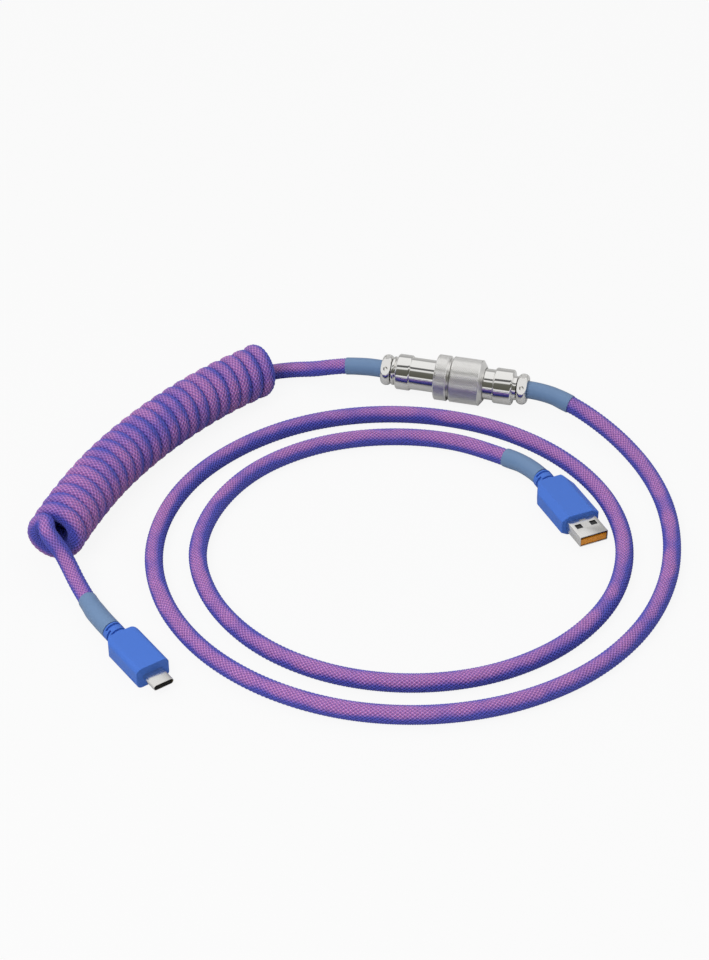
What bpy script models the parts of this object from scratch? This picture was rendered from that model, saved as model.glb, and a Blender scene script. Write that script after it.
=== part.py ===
"""Coiled keyboard cable with a two-half aviator connector.

A USB-C plug, a curly coil and the pin half of the connector make the device side. The socket
half of the connector, its coupling nut, two loops of cable and a USB-A plug make the host side.
The model stands on the desk, Z = 0, with +X along the connector from the device half to the
host half and the origin under the middle of the connector. Lengths below are in millimetres.
"""
import math

import bmesh
import bpy
from mathutils import Matrix, Vector

MM = 0.001
GAP = 0.3

# Connector: stations along its axis, and radii.
AXIS_HEIGHT = 9.5
NUT_RADIUS = 9.5
NUT_START = -1.2
NUT_LENGTH = 13.9
NUT_CHAMFER = (1.5, 2.1)
NUT_WALL_START = 6.7
NUT_BORE = 8.1
THREAD_RADIUS = 7.8
THREAD_END = 2.6
FLANGE_START = -7.6
FLANGE_END = -2.2
SLEEVE_RADIUS = 6.4
SLEEVE_BORE = 5.6
SLEEVE_TIP = -2.6
INSERT_RADIUS = 5.3
BARREL_RADIUS = 6.7
BAND_RADIUS = 7.4
NECK_RADIUS = 5.0
COLLAR_RADIUS = 6.0
CABLE_BORE = 4.1
PIN_CIRCLE = 3.6
PIN_RADIUS = 0.7
CONTACT_RADIUS = 1.2
CONTACT_BORE = 0.9
ROUND_STEPS = 32
SMALL_STEPS = 12

# Cable clamp behind each back shell.
CLAMP_WIDTH = 4.2
CLAMP_ROOT = 0.9
CLAMP_BORE = 4.0
CLAMP_EAR = 6.9
CLAMP_TILT = math.radians(47.0)
CLAMP_SCREW_OFFSET = 5.6
CLAMP_SCREW_SHANK = 0.5
CLAMP_SCREW_HOLE = 0.75
CLAMP_SCREW_HEAD = 1.1
DEVICE_CLAMP_START = -30.8
HOST_CLAMP_START = 26.6

# Cables, coil and shrink tubes.
HOST_CABLE_RADIUS = 3.4
DEVICE_CABLE_RADIUS = 3.1
COIL_RADIUS = 10.9
SHRINK_RADIUS = 3.65
USB_C_SHRINK_RADIUS = 3.85
SHRINK_BORE = 3.05
CORE_RADIUS = 2.4
POINT_SPACING = 17.5

# USB-A plug: front face of its overmould, heading, and section sizes.
USB_A_FRONT = (66.0, -75.8)
USB_A_HEADING = math.radians(-51.5)
USB_A_HEIGHT = 8.8
USB_A_WIDTH = 16.2
USB_A_BODY = 25.4
USB_A_NECK = 6.0
USB_A_SHELL = (12.0, 4.5)
USB_A_SHELL_OUT = 10.9
USB_A_SHELL_IN = 8.0
USB_A_WALL = 0.32
USB_A_SLOT_FLOOR = 3.2
RELIEF_SLOT_WIDTH = 0.8

# USB-C plug.
USB_C_FRONT = (-66.0, -198.8)
USB_C_HEADING = math.radians(-40.3)
USB_C_HEIGHT = 8.6
USB_C_WIDTH = 13.4
USB_C_BODY = 22.0
USB_C_NECK = 6.4
USB_C_SHELL = (8.25, 2.4)
USB_C_SHELL_OUT = 7.3
USB_C_SHELL_IN = 6.4
USB_C_WALL = 0.2
USB_C_SLOT_FLOOR = 3.2

# Routes of the cables, each point chosen by hand on the cable's centre line.
HOST_ROUTE = [
    (50.3, -4.5, 8.0), (64.6, -13.4, 6.3), (79.6, -27.5, 4.3), (93.0, -48.9, 3.5),
    (101.3, -75.2, 3.5), (103.4, -102.5, 3.5), (97.6, -133.0, 3.5), (83.6, -159.3, 3.5),
    (60.5, -181.5, 3.5), (32.5, -195.0, 3.5), (3.0, -199.5, 3.5), (-26.8, -194.7, 3.5),
    (-53.0, -181.5, 3.5), (-74.1, -160.4, 3.5), (-86.8, -135.0, 3.5), (-90.5, -110.0, 3.5),
    (-87.2, -85.7, 3.5), (-76.0, -61.5, 3.5), (-56.2, -39.5, 3.5), (-31.0, -25.5, 3.5),
    (-2.8, -19.9, 3.5), (25.0, -23.0, 3.5), (50.5, -34.8, 3.5), (72.0, -56.0, 3.5),
    (84.5, -84.5, 3.5), (84.6, -118.0, 3.5), (71.5, -147.7, 3.5), (50.4, -168.5, 3.5),
    (24.0, -180.3, 3.5), (-5.0, -182.5, 3.5), (-32.6, -174.4, 3.5), (-57.0, -155.0, 3.5),
    (-71.0, -130.0, 3.5), (-73.3, -102.0, 3.5), (-64.4, -73.2, 3.5), (-45.6, -51.6, 3.5),
    (-20.0, -38.6, 3.5), (7.9, -35.2, 3.5), (29.1, -40.2, 3.5),
]
COIL_ROUTE = [
    (-79.0, -14.5, 10.95), (-91.4, -32.0, 10.95), (-102.8, -53.1, 10.95),
    (-111.5, -74.5, 10.95), (-118.3, -98.0, 10.95), (-122.0, -121.5, 10.95),
    (-123.6, -142.0, 10.95),
]
LEAD_ROUTE = [
    (-80.6, -7.6, 3.6), (-76.2, -4.4, 3.4), (-68.5, -1.8, 4.0), (-60.0, -1.3, 5.5),
    (-52.5, -1.0, 7.5), (-46.8, -0.8, 8.8),
]
TAIL_ROUTE = [
    (-124.1, -146.8, 17.3), (-121.2, -148.7, 14.8), (-117.6, -150.2, 11.3),
    (-114.0, -153.1, 8.0), (-110.0, -157.4, 5.7), (-102.7, -165.5, 4.0),
]
DEVICE_SHRINK_ROUTE = [(-46.3, -0.75, 8.9), (-42.0, -0.4, 9.3), (-37.0, 0.0, 9.5), (-27.5, 0.0, 9.5)]
HOST_SHRINK_ROUTE = [(27.5, 0.0, 9.5), (33.0, 0.0, 9.5), (41.0, -1.2, 9.2), (49.4, -4.1, 8.15)]
USB_A_SHRINK_ROUTE = [(29.7, -40.4, 3.65), (36.6, -43.1, 3.8), (42.2, -47.1, 4.15),
                      (46.1, -50.8, 4.4)]
USB_C_SHRINK_ROUTE = [(-102.3, -166.0, 4.0), (-97.5, -171.4, 4.1), (-92.5, -176.2, 4.25),
                      (-87.8, -180.3, 4.3)]

# How far the inner jacket runs on past each shrink tube: into the connector, or from a plug's front.
CORE_END_IN_CONNECTOR = 19.5
CORE_END_IN_USB_A = 18.2
CORE_END_IN_USB_C = 17.0


def vec(point):
    """A point in millimetres as a vector in metres."""
    return Vector(point) * MM


def clear_scene():
    for thing in list(bpy.data.objects):
        bpy.data.objects.remove(thing, do_unlink=True)


def material(name, colour, roughness, metallic=0.0, transmission=0.0):
    made = bpy.data.materials.new(name)
    made.use_nodes = True
    shader = made.node_tree.nodes["Principled BSDF"]
    shader.inputs["Base Color"].default_value = (*colour, 1.0)
    shader.inputs["Roughness"].default_value = roughness
    shader.inputs["Metallic"].default_value = metallic
    shader.inputs["Transmission Weight"].default_value = transmission
    return made


def make_materials():
    return {
        "polished": material("polished_nickel", (0.78, 0.78, 0.76), 0.12, 1.0),
        "satin": material("satin_nickel", (0.62, 0.62, 0.60), 0.38, 1.0),
        "shell": material("plug_shell_steel", (0.74, 0.73, 0.71), 0.25, 1.0),
        "gold": material("contact_gold", (0.83, 0.62, 0.27), 0.25, 1.0),
        "bakelite": material("insulator_black", (0.02, 0.02, 0.02), 0.45),
        "amber": material("tongue_amber", (0.62, 0.27, 0.04), 0.4),
        "overmould": material("overmould_blue", (0.08, 0.17, 0.62), 0.45),
        "shrink": material("shrink_tube_blue_grey", (0.12, 0.22, 0.38), 0.35),
        "braid": material("braid_purple", (0.28, 0.10, 0.40), 0.7),
        "jacket": material("inner_jacket_black", (0.03, 0.03, 0.03), 0.55),
        "inner": material("inner_mould_white", (0.75, 0.75, 0.72), 0.5),
        "board": material("board_green", (0.02, 0.16, 0.07), 0.4),
    }


def empty(name, location, heading=0.0):
    made = bpy.data.objects.new(name, None)
    bpy.context.collection.objects.link(made)
    made.location = vec(location)
    made.rotation_euler = (0.0, 0.0, heading)
    return made


def add_object(name, bm, skin, parent=None, smooth=True):
    """Close a bmesh into a named object with one material."""
    bmesh.ops.remove_doubles(bm, verts=bm.verts, dist=0.001 * MM)
    bmesh.ops.recalc_face_normals(bm, faces=bm.faces)
    mesh = bpy.data.meshes.new(name)
    bm.to_mesh(mesh)
    bm.free()
    if smooth:
        mesh.shade_smooth()
        mesh.set_sharp_from_angle(angle=math.radians(35.0))
    made = bpy.data.objects.new(name, mesh)
    bpy.context.collection.objects.link(made)
    made.parent = parent
    if skin:
        mesh.materials.append(skin)
    return made


def turned(name, profile, skin, parent, steps=ROUND_STEPS):
    """Spin a closed profile of (x, radius) points all round the X axis."""
    bm = bmesh.new()
    ring = [bm.verts.new(vec((x, radius, 0.0))) for x, radius in profile]
    edges = [bm.edges.new((ring[i - 1], ring[i])) for i in range(len(ring))]
    bmesh.ops.spin(bm, geom=ring + edges, cent=(0, 0, 0), axis=(1, 0, 0),
                   angle=2.0 * math.pi, steps=steps, use_merge=True)
    return add_object(name, bm, skin, parent)


def extruded(name, outline, depth, frame, skin, parent, smooth=False):
    """Extrude an outline of (u, v) points along w; frame maps (u, v, w) to the parent's axes."""
    bm = bmesh.new()
    face = bm.faces.new([bm.verts.new(vec((u, v, 0.0))) for u, v in outline])
    pushed = bmesh.ops.extrude_face_region(bm, geom=[face])
    moved = [item for item in pushed["geom"] if isinstance(item, bmesh.types.BMVert)]
    bmesh.ops.translate(bm, verts=moved, vec=vec((0.0, 0.0, depth)))
    bmesh.ops.transform(bm, verts=bm.verts, matrix=frame)
    return add_object(name, bm, skin, parent, smooth)


def frame_at(u_axis, v_axis, w_axis, origin=(0.0, 0.0, 0.0)):
    """The matrix that maps local u, v, w to the given directions from an origin in millimetres."""
    turn = Matrix((u_axis, v_axis, w_axis)).transposed().to_4x4()
    return Matrix.Translation(vec(origin)) @ turn


def along_x(start):
    """Section in Y and Z, extruded toward +X from a station."""
    return frame_at((0, 1, 0), (0, 0, 1), (1, 0, 0), (start, 0.0, 0.0))


def along_z(start):
    """Plan in X and Y, extruded upward from a height."""
    return frame_at((1, 0, 0), (0, 1, 0), (0, 0, 1), (0.0, 0.0, start))


def rectangle(width, height, centre=(0.0, 0.0)):
    u, v = centre
    return [(u - width / 2, v - height / 2), (u + width / 2, v - height / 2),
            (u + width / 2, v + height / 2), (u - width / 2, v + height / 2)]


def rounded(width, height, radius, steps=4):
    """A rectangle with round corners; a stadium when the radius is half its height."""
    points = []
    corners = [(1, -1, -90.0), (1, 1, 0.0), (-1, 1, 90.0), (-1, -1, 180.0)]
    for side, level, start in corners:
        centre = (side * (width / 2 - radius), level * (height / 2 - radius))
        for step in range(steps + 1):
            angle = math.radians(start + 90.0 * step / steps)
            points.append((centre[0] + radius * math.cos(angle),
                           centre[1] + radius * math.sin(angle)))
    return points


def arc(radius, start, end, steps):
    """Points on a circle from one angle to another, both in degrees."""
    angles = [math.radians(start + (end - start) * i / steps) for i in range(steps + 1)]
    return [(radius * math.cos(a), radius * math.sin(a)) for a in angles]


def box_cutter(name, size, centre, parent):
    outline = rectangle(size[1], size[2], (centre[1], centre[2]))
    start = centre[0] - size[0] / 2
    return extruded(name, outline, size[0], along_x(start), None, parent)


def boolean(target, tool, operation="DIFFERENCE"):
    """Cut, join or intersect, with the tool kept as a hidden guide."""
    step = target.modifiers.new(tool.name, "BOOLEAN")
    step.operation = operation
    step.object = tool
    tool.hide_render = True
    tool.display_type = "WIRE"


def smooth_path(points, spacing):
    """A Catmull-Rom curve through the points, resampled at even steps of about the spacing."""
    knots = [vec(p) for p in points]
    knots = [2 * knots[0] - knots[1]] + knots + [2 * knots[-1] - knots[-2]]
    fine = []
    for i in range(1, len(knots) - 2):
        p0, p1, p2, p3 = knots[i - 1:i + 3]
        for step in range(12):
            t = step / 12.0
            fine.append(0.5 * (2 * p1 + (p2 - p0) * t + (2 * p0 - 5 * p1 + 4 * p2 - p3) * t ** 2
                               + (3 * p1 - p0 - 3 * p2 + p3) * t ** 3))
    fine.append(knots[-2])
    reach = [0.0]
    for before, after in zip(fine, fine[1:]):
        reach.append(reach[-1] + (after - before).length)
    count = max(2, round(reach[-1] / (spacing * MM)))
    path = []
    at = 0
    for k in range(count + 1):
        goal = reach[-1] * k / count
        while at < len(reach) - 2 and reach[at + 1] < goal:
            at += 1
        share = (goal - reach[at]) / (reach[at + 1] - reach[at])
        path.append(fine[at].lerp(fine[at + 1], min(1.0, share)))
    return path


def cord(name, route, radius, spacing, sides, skin):
    """A plain round tube along a route, with closed ends."""
    curve = bpy.data.curves.new(name, "CURVE")
    curve.dimensions = "3D"
    curve.bevel_depth = radius * MM
    curve.bevel_resolution = sides // 2 - 2
    curve.use_fill_caps = True
    path = smooth_path(route, spacing)
    spline = curve.splines.new("POLY")
    spline.points.add(len(path) - 1)
    for knot, place in zip(spline.points, path):
        knot.co = (*place, 1.0)
    curve.materials.append(skin)
    made = bpy.data.objects.new(name, curve)
    bpy.context.collection.objects.link(made)
    return made


def sleeve(name, route, outer, inner, skin, spacing=4.0, sides=12):
    """A hollow tube along a route: a ring of section points carried square to the path."""
    path = smooth_path(route, spacing)
    bm = bmesh.new()
    rings = []
    for i, place in enumerate(path):
        heading = (path[min(i + 1, len(path) - 1)] - path[max(i - 1, 0)]).normalized()
        side = heading.cross(Vector((0, 0, 1))).normalized()
        up = side.cross(heading)
        for radius in (outer, inner):
            spokes = [2 * math.pi * k / sides for k in range(sides)]
            rings.append([bm.verts.new(place + radius * MM * (math.cos(a) * side + math.sin(a) * up))
                          for a in spokes])
    outside, inside = rings[0::2], rings[1::2]
    loops = outside + inside[::-1] + outside[:1]
    for one, other in zip(loops, loops[1:]):
        for k in range(sides):
            bm.faces.new((one[k - 1], one[k], other[k], other[k - 1]))
    return add_object(name, bm, skin)


# Connector -------------------------------------------------------------------------------------

def pin_places():
    """Centres of the five poles: four on a circle and one in the middle."""
    ring = arc(PIN_CIRCLE, 45.0, 315.0, 3)
    return ring + [(0.0, 0.0)]


def pole_cutter(name, start, end, radius, parent):
    """Five parallel rods that bore an insert for its pins or contacts."""
    bm = bmesh.new()
    for y, z in pin_places():
        spot = vec(((start + end) / 2, y, z))
        place = Matrix.Translation(spot) @ Matrix.Rotation(math.pi / 2, 4, "Y")
        bmesh.ops.create_cone(bm, cap_ends=True, segments=SMALL_STEPS, radius1=radius * MM,
                              radius2=radius * MM, depth=(end - start) * MM, matrix=place)
    return add_object(name, bm, None, parent)


def insert(name, start, end, bore, axis, skins):
    """A round insulator with one hole for each pole."""
    profile = [(start, 0.0), (start, INSERT_RADIUS), (end, INSERT_RADIUS), (end, 0.0)]
    body = turned(name, profile, skins["bakelite"], axis, 28)
    boolean(body, pole_cutter(name + "_cutter", start - 1.0, end + 1.0, bore, axis))


def device_pins(axis, skins):
    profile = [(-10.8, 0.0), (-10.8, 0.85), (-8.0, 0.85), (-8.0, PIN_RADIUS), (1.0, PIN_RADIUS),
               (1.6, 0.35), (1.6, 0.0)]
    for number, (y, z) in enumerate(pin_places(), 1):
        pin = turned(f"device_pin_{number}", profile, skins["gold"], axis, SMALL_STEPS)
        pin.location = vec((0.0, y, z))


def host_contacts(axis, skins):
    profile = [(-2.0, CONTACT_BORE), (-2.0, CONTACT_RADIUS), (5.4, CONTACT_RADIUS), (5.4, 0.8),
               (8.6, 0.8), (8.6, 0.0), (3.2, 0.0), (3.2, CONTACT_BORE)]
    for number, (y, z) in enumerate(pin_places(), 1):
        contact = turned(f"host_contact_{number}", profile, skins["gold"], axis, SMALL_STEPS)
        contact.location = vec((0.0, y, z))


def device_front_body(axis, skins):
    """Flange ring and threaded spigot in one turned piece, with the key inside its mouth."""
    profile = [
        (-11.0, 5.6), (FLANGE_START, 5.6), (FLANGE_START, 9.0), (FLANGE_START + 0.5, 9.5),
        (FLANGE_END - 0.5, 9.5), (FLANGE_END, 9.0), (FLANGE_END, THREAD_RADIUS),
        (THREAD_END - 0.4, THREAD_RADIUS), (THREAD_END, THREAD_RADIUS - 0.4),
        (THREAD_END, SLEEVE_RADIUS + GAP), (-3.0, SLEEVE_RADIUS + GAP), (-3.0, SLEEVE_BORE),
        (-7.0, SLEEVE_BORE), (-7.0, 4.9), (-11.0, 4.9),
    ]
    body = turned("device_front_body", profile, skins["satin"], axis)
    key = box_cutter("device_key", (4.6, 1.0, 1.1), (-1.0, 0.0, 6.5), axis)
    boolean(body, key, "UNION")


def host_plug_sleeve(axis, skins):
    """Sleeve that enters the device half, with its thrust flange and a keyway."""
    flange = THREAD_END + GAP
    profile = [
        (SLEEVE_TIP, SLEEVE_BORE), (SLEEVE_TIP, SLEEVE_RADIUS), (flange, SLEEVE_RADIUS),
        (flange, 7.6), (flange + 1.7, 7.6), (flange + 1.7, SLEEVE_RADIUS),
        (NUT_WALL_START, SLEEVE_RADIUS), (NUT_WALL_START, 5.5), (11.0, 5.5), (11.0, 5.1),
        (4.8, 5.1), (4.8, SLEEVE_BORE),
    ]
    body = turned("host_plug_sleeve", profile, skins["polished"], axis)
    slot = box_cutter("keyway_cutter", (5.0, 1.8, 2.4), (SLEEVE_TIP + 2.0, 0.0, 6.3), axis)
    boolean(body, slot)


def coupling_nut(axis, skins):
    end = NUT_START + NUT_LENGTH
    profile = [
        (NUT_START, NUT_BORE), (NUT_START, 9.1), (NUT_START + 0.4, NUT_RADIUS),
        (end - NUT_CHAMFER[0], NUT_RADIUS), (end, NUT_RADIUS - NUT_CHAMFER[1]),
        (end, SLEEVE_RADIUS + 0.35),
        (NUT_WALL_START, SLEEVE_RADIUS + 0.35), (NUT_WALL_START, NUT_BORE),
    ]
    turned("coupling_nut", profile, skins["satin"], axis, 36)


def nut_thrust_ring(axis, skins):
    inner = SLEEVE_RADIUS + GAP
    outer = NUT_BORE - GAP
    profile = [(4.9, inner), (4.9, outer), (6.4, outer), (6.4, inner)]
    turned("nut_thrust_ring", profile, skins["shell"], axis)


def clamp_frame(start):
    """Section of a clamp: u across the split, v toward the strap's flat, w along the cable."""
    across = (0.0, math.sin(CLAMP_TILT), math.cos(CLAMP_TILT))
    outward = (0.0, -math.cos(CLAMP_TILT), math.sin(CLAMP_TILT))
    return frame_at(across, outward, (1.0, 0.0, 0.0), (start, 0.0, 0.0))


def clamp_screw_frame(start, side):
    """Axis of one clamp screw: along v, at its own side of the cable."""
    spot = clamp_frame(start) @ vec((side * CLAMP_SCREW_OFFSET, 0.0, CLAMP_WIDTH / 2))
    turn = clamp_frame(start).to_3x3() @ Matrix.Rotation(math.pi / 2, 3, "Z")
    return Matrix.Translation(spot) @ turn.to_4x4()


def clamp_rod(name, start, side, first, last, radius, parent):
    """A round cutter along a clamp screw's axis, from one height to another."""
    bm = bmesh.new()
    place = clamp_screw_frame(start, side) @ Matrix.Translation(vec(((first + last) / 2, 0, 0)))
    bmesh.ops.create_cone(bm, cap_ends=True, segments=SMALL_STEPS, radius1=radius * MM,
                          radius2=radius * MM, depth=(last - first) * MM,
                          matrix=place @ Matrix.Rotation(math.pi / 2, 4, "Y"))
    return add_object(name, bm, None, parent)


def clamp_saddle(name, start, axis):
    """The fixed half of a clamp, which reaches toward the connector to join its neck."""
    reach = CLAMP_WIDTH + CLAMP_ROOT
    first = start if start < 0 else start - CLAMP_ROOT
    outline = [(CLAMP_EAR, -0.2), (CLAMP_BORE, -0.2)]
    outline += arc(CLAMP_BORE, -10.0, -170.0, 10)
    outline += [(-CLAMP_BORE, -0.2), (-CLAMP_EAR, -0.2), (-CLAMP_EAR, -2.4), (-5.6, -3.4)]
    outline += arc(6.3, -140.0, -40.0, 6)
    outline += [(5.6, -3.4), (CLAMP_EAR, -2.4)]
    return extruded(name, outline, reach, clamp_frame(first), None, axis)


def clamp_strap(name, start, axis, skins):
    """The loose half: an arch with a flat, a round recess in the flat and one open ear."""
    outline = [(-CLAMP_BORE, 0.2)]
    outline += arc(CLAMP_BORE, 170.0, 10.0, 10)
    outline += [(CLAMP_BORE, 0.2), (CLAMP_EAR, 0.2), (CLAMP_EAR, 2.2), (4.45, 2.2), (4.45, 4.6),
                (3.6, 5.6), (-3.0, 5.6), (-5.2, 4.2), (-6.5, 2.2), (-CLAMP_EAR, 0.2)]
    strap = extruded(name, outline, CLAMP_WIDTH, clamp_frame(start), skins["polished"], axis)
    bm = bmesh.new()
    place = clamp_frame(start) @ Matrix.Translation(vec((0.2, 5.4, CLAMP_WIDTH / 2)))
    bmesh.ops.create_cone(bm, cap_ends=True, segments=SMALL_STEPS, radius1=1.1 * MM,
                          radius2=1.1 * MM, depth=1.8 * MM,
                          matrix=place @ Matrix.Rotation(math.pi / 2, 4, "X"))
    boolean(strap, add_object(name + "_recess", bm, None, axis))
    upper = clamp_rod(name + "_upper_bore", start, 1, -1.0, 4.0, CLAMP_SCREW_HOLE, axis)
    lower = clamp_rod(name + "_lower_bore", start, -1, -1.0, 2.0, CLAMP_SCREW_HOLE, axis)
    boolean(strap, upper)
    boolean(strap, lower)


def clamp_screw(name, start, side, axis, skins):
    """A cheese-head screw; side 1 enters from the strap, side -1 from the saddle."""
    seat = 2.5 if side > 0 else 3.6
    profile = [(-1.6, 0.0), (-1.6, CLAMP_SCREW_SHANK), (seat, CLAMP_SCREW_SHANK),
               (seat, CLAMP_SCREW_HEAD), (seat + 0.9, CLAMP_SCREW_HEAD), (seat + 0.9, 0.0)]
    screw = turned(name, profile, skins["shell"], axis, SMALL_STEPS)
    place = clamp_screw_frame(start, side)
    if side < 0:
        place = place @ Matrix.Rotation(math.pi, 4, "Z")
    screw.matrix_local = place


def back_shell(name, profile, clamp_start, axis, skins):
    """A turned back shell with the fixed half of its cable clamp."""
    body = turned(name, profile, skins["polished"], axis)
    boolean(body, clamp_saddle(name + "_saddle", clamp_start, axis), "UNION")
    upper = clamp_rod(name + "_blind_bore", clamp_start, 1, -2.2, 1.0, CLAMP_SCREW_HOLE, axis)
    lower = clamp_rod(name + "_open_bore", clamp_start, -1, -5.0, 1.0, CLAMP_SCREW_HOLE, axis)
    seat = clamp_rod(name + "_seat", clamp_start, -1, -6.0, -3.3, CLAMP_SCREW_HEAD + GAP, axis)
    for tool in (upper, lower, seat):
        boolean(body, tool)


def device_back_shell(axis, skins):
    rear = DEVICE_CLAMP_START + CLAMP_WIDTH + GAP
    front = FLANGE_START - GAP
    profile = [
        (rear, CABLE_BORE), (rear, COLLAR_RADIUS), (-25.0, COLLAR_RADIUS), (-25.0, NECK_RADIUS),
        (-24.6, NECK_RADIUS), (-24.3, 6.9),
        (-23.8, BAND_RADIUS), (-18.7, BAND_RADIUS), (-18.2, 7.0), (-18.2, BARREL_RADIUS),
        (front, BARREL_RADIUS), (front, 5.9), (-21.5, 5.9), (-23.0, CABLE_BORE),
    ]
    back_shell("device_back_shell", profile, DEVICE_CLAMP_START, axis, skins)


def host_back_shell(axis, skins):
    rear = HOST_CLAMP_START - GAP
    front = NUT_WALL_START + GAP
    profile = [
        (front, 5.8), (front, SLEEVE_RADIUS), (16.9, SLEEVE_RADIUS), (16.9, 7.0),
        (17.4, BAND_RADIUS), (24.3, BAND_RADIUS), (24.9, 6.8), (24.9, NECK_RADIUS),
        (rear, NECK_RADIUS), (rear, CABLE_BORE), (23.4, CABLE_BORE), (21.9, 5.8),
    ]
    back_shell("host_back_shell", profile, HOST_CLAMP_START, axis, skins)


def build_connector(axis, skins):
    device_front_body(axis, skins)
    insert("device_insert", -6.7, -3.3, PIN_RADIUS + 0.25, axis, skins)
    device_pins(axis, skins)
    device_back_shell(axis, skins)
    host_plug_sleeve(axis, skins)
    insert("host_insert", -2.3, 4.5, CONTACT_RADIUS + 0.25, axis, skins)
    host_contacts(axis, skins)
    host_back_shell(axis, skins)
    coupling_nut(axis, skins)
    nut_thrust_ring(axis, skins)
    for half, start in (("device", DEVICE_CLAMP_START), ("host", HOST_CLAMP_START)):
        clamp_strap(f"{half}_clamp_strap", start, axis, skins)
        clamp_screw(f"{half}_clamp_screw_upper", start, 1, axis, skins)
        clamp_screw(f"{half}_clamp_screw_lower", start, -1, axis, skins)


# Plugs -----------------------------------------------------------------------------------------

def neck(name, rear, front, rear_radius, front_radius, plug):
    """The tapered strain-relief neck of an overmould, as a solid to join to it."""
    profile = [(rear, 0.0), (rear, rear_radius), (front, front_radius), (front, 0.0)]
    return turned(name, profile, None, plug, 24)


def relief_slot(name, station, span, floor, plug):
    """A curved slot cutter in the neck, between two angles in degrees."""
    start, end = span
    outline = arc(floor, start, end, 8) + arc(6.0, end, start, 8)
    return extruded(name, outline, RELIEF_SLOT_WIDTH, along_x(station), None, plug)


def cut_relief_slots(body, name, rear, floor, plug):
    """Two staggered rows of flexing slots round the neck."""
    rows = [(rear + 1.2, ((35.0, 145.0), (215.0, 325.0))),
            (rear + 3.0, ((-55.0, 55.0), (125.0, 235.0)))]
    for row, (station, spans) in enumerate(rows):
        for side, span in enumerate(spans):
            boolean(body, relief_slot(f"{name}_slot_{row}{side}", station, span, floor, plug))


def usb_a_overmould(plug, skins):
    """Grip of the USB-A plug: faceted section, chamfered back corners, ribbed neck, hollow inside."""
    half = USB_A_WIDTH / 2
    top = USB_A_HEIGHT / 2
    section = [(-half, -top + 1.3), (-5.2, -top), (5.2, -top), (half, -top + 1.3),
               (half, top - 1.3), (5.2, top), (-5.2, top), (-half, top - 1.3)]
    body = extruded("usb_a_overmould", section, USB_A_BODY, along_x(-USB_A_BODY),
                    skins["overmould"], plug)
    plan = [(-USB_A_BODY - 1.0, -5.0), (-USB_A_BODY, -5.2), (-USB_A_BODY + 5.6, -half - 0.05),
            (1.0, -half - 0.05), (1.0, half + 0.05), (-USB_A_BODY + 5.6, half + 0.05),
            (-USB_A_BODY, 5.2), (-USB_A_BODY - 1.0, 5.0)]
    boolean(body, extruded("usb_a_plan", plan, 12.0, along_z(-6.0), None, plug), "INTERSECT")
    rear = -USB_A_BODY - USB_A_NECK
    boolean(body, neck("usb_a_neck", rear, -USB_A_BODY + 1.0, 3.95, 3.98, plug), "UNION")
    mouth = (USB_A_SHELL_IN + 1.0, USB_A_SHELL[0] + 0.6, USB_A_SHELL[1] + 0.6)
    boolean(body, box_cutter("usb_a_mouth", mouth, (0.5 - USB_A_SHELL_IN / 2, 0.0, 0.0), plug))
    boolean(body, box_cutter("usb_a_chamber", (9.6, 11.6, 6.2), (-12.7, 0.0, 0.0), plug))
    boolean(body, neck("usb_a_bore", rear - 1.0, -17.0, CORE_RADIUS + GAP, CORE_RADIUS + GAP, plug))
    cut_relief_slots(body, "usb_a", rear, USB_A_SLOT_FLOOR, plug)


def usb_a_shell(plug, skins):
    """Folded steel shell with two square windows in each wide side."""
    width, height = USB_A_SHELL
    length = USB_A_SHELL_IN + USB_A_SHELL_OUT
    shell = extruded("usb_a_shell", rounded(width, height, 0.4, 2), length,
                     along_x(-USB_A_SHELL_IN), skins["shell"], plug)
    inside = rectangle(width - 2 * USB_A_WALL, height - 2 * USB_A_WALL)
    boolean(shell, extruded("usb_a_shell_inside", inside, length + 2.0,
                            along_x(-USB_A_SHELL_IN - 1.0), None, plug))
    for number, side in enumerate((-1, 1)):
        window = box_cutter(f"usb_a_window_{number}", (2.5, 2.6, 6.0), (4.4, side * 3.1, 0.0), plug)
        boolean(shell, window)


def usb_a_tongue(plug, skins):
    """Amber insulator in the lower part of the shell, grooved for the contacts behind its lip."""
    bottom = -USB_A_SHELL[1] / 2 + USB_A_WALL + 0.15
    top = bottom + 1.95
    outline = [(-5.5, bottom), (5.5, bottom), (5.5, top)]
    for y in reversed(usb_a_contact_places()):
        outline += [(y + 0.75, top), (y + 0.75, top - 0.5), (y - 0.75, top - 0.5), (y - 0.75, top)]
    outline.append((-5.5, top))
    tip = USB_A_SHELL_OUT - 0.35
    tongue = extruded("usb_a_tongue", outline, tip + 7.2, along_x(-7.6), skins["amber"], plug)
    lip = box_cutter("usb_a_lip", (0.8, 11.0, top + 0.4 - bottom),
                     (tip - 0.4, 0.0, (top + 0.4 + bottom) / 2), plug)
    boolean(tongue, lip, "UNION")


def usb_a_contact_places():
    return (-3.5, -1.0, 1.0, 3.5)


def usb_a_contacts(plug, skins):
    level = -USB_A_SHELL[1] / 2 + USB_A_WALL + 0.15 + 1.95 - 0.5 + 0.2
    for number, y in enumerate(usb_a_contact_places(), 1):
        outline = rectangle(1.0, 0.2, (y, level))
        extruded(f"usb_a_contact_{number}", outline, USB_A_SHELL_OUT + 6.1, along_x(-7.4),
                 skins["gold"], plug)


def usb_a_inner_mould(plug, skins):
    extruded("usb_a_inner_mould", rounded(10.8, 5.4, 0.6, 2), 8.4, along_x(-17.1), skins["inner"], plug)


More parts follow.
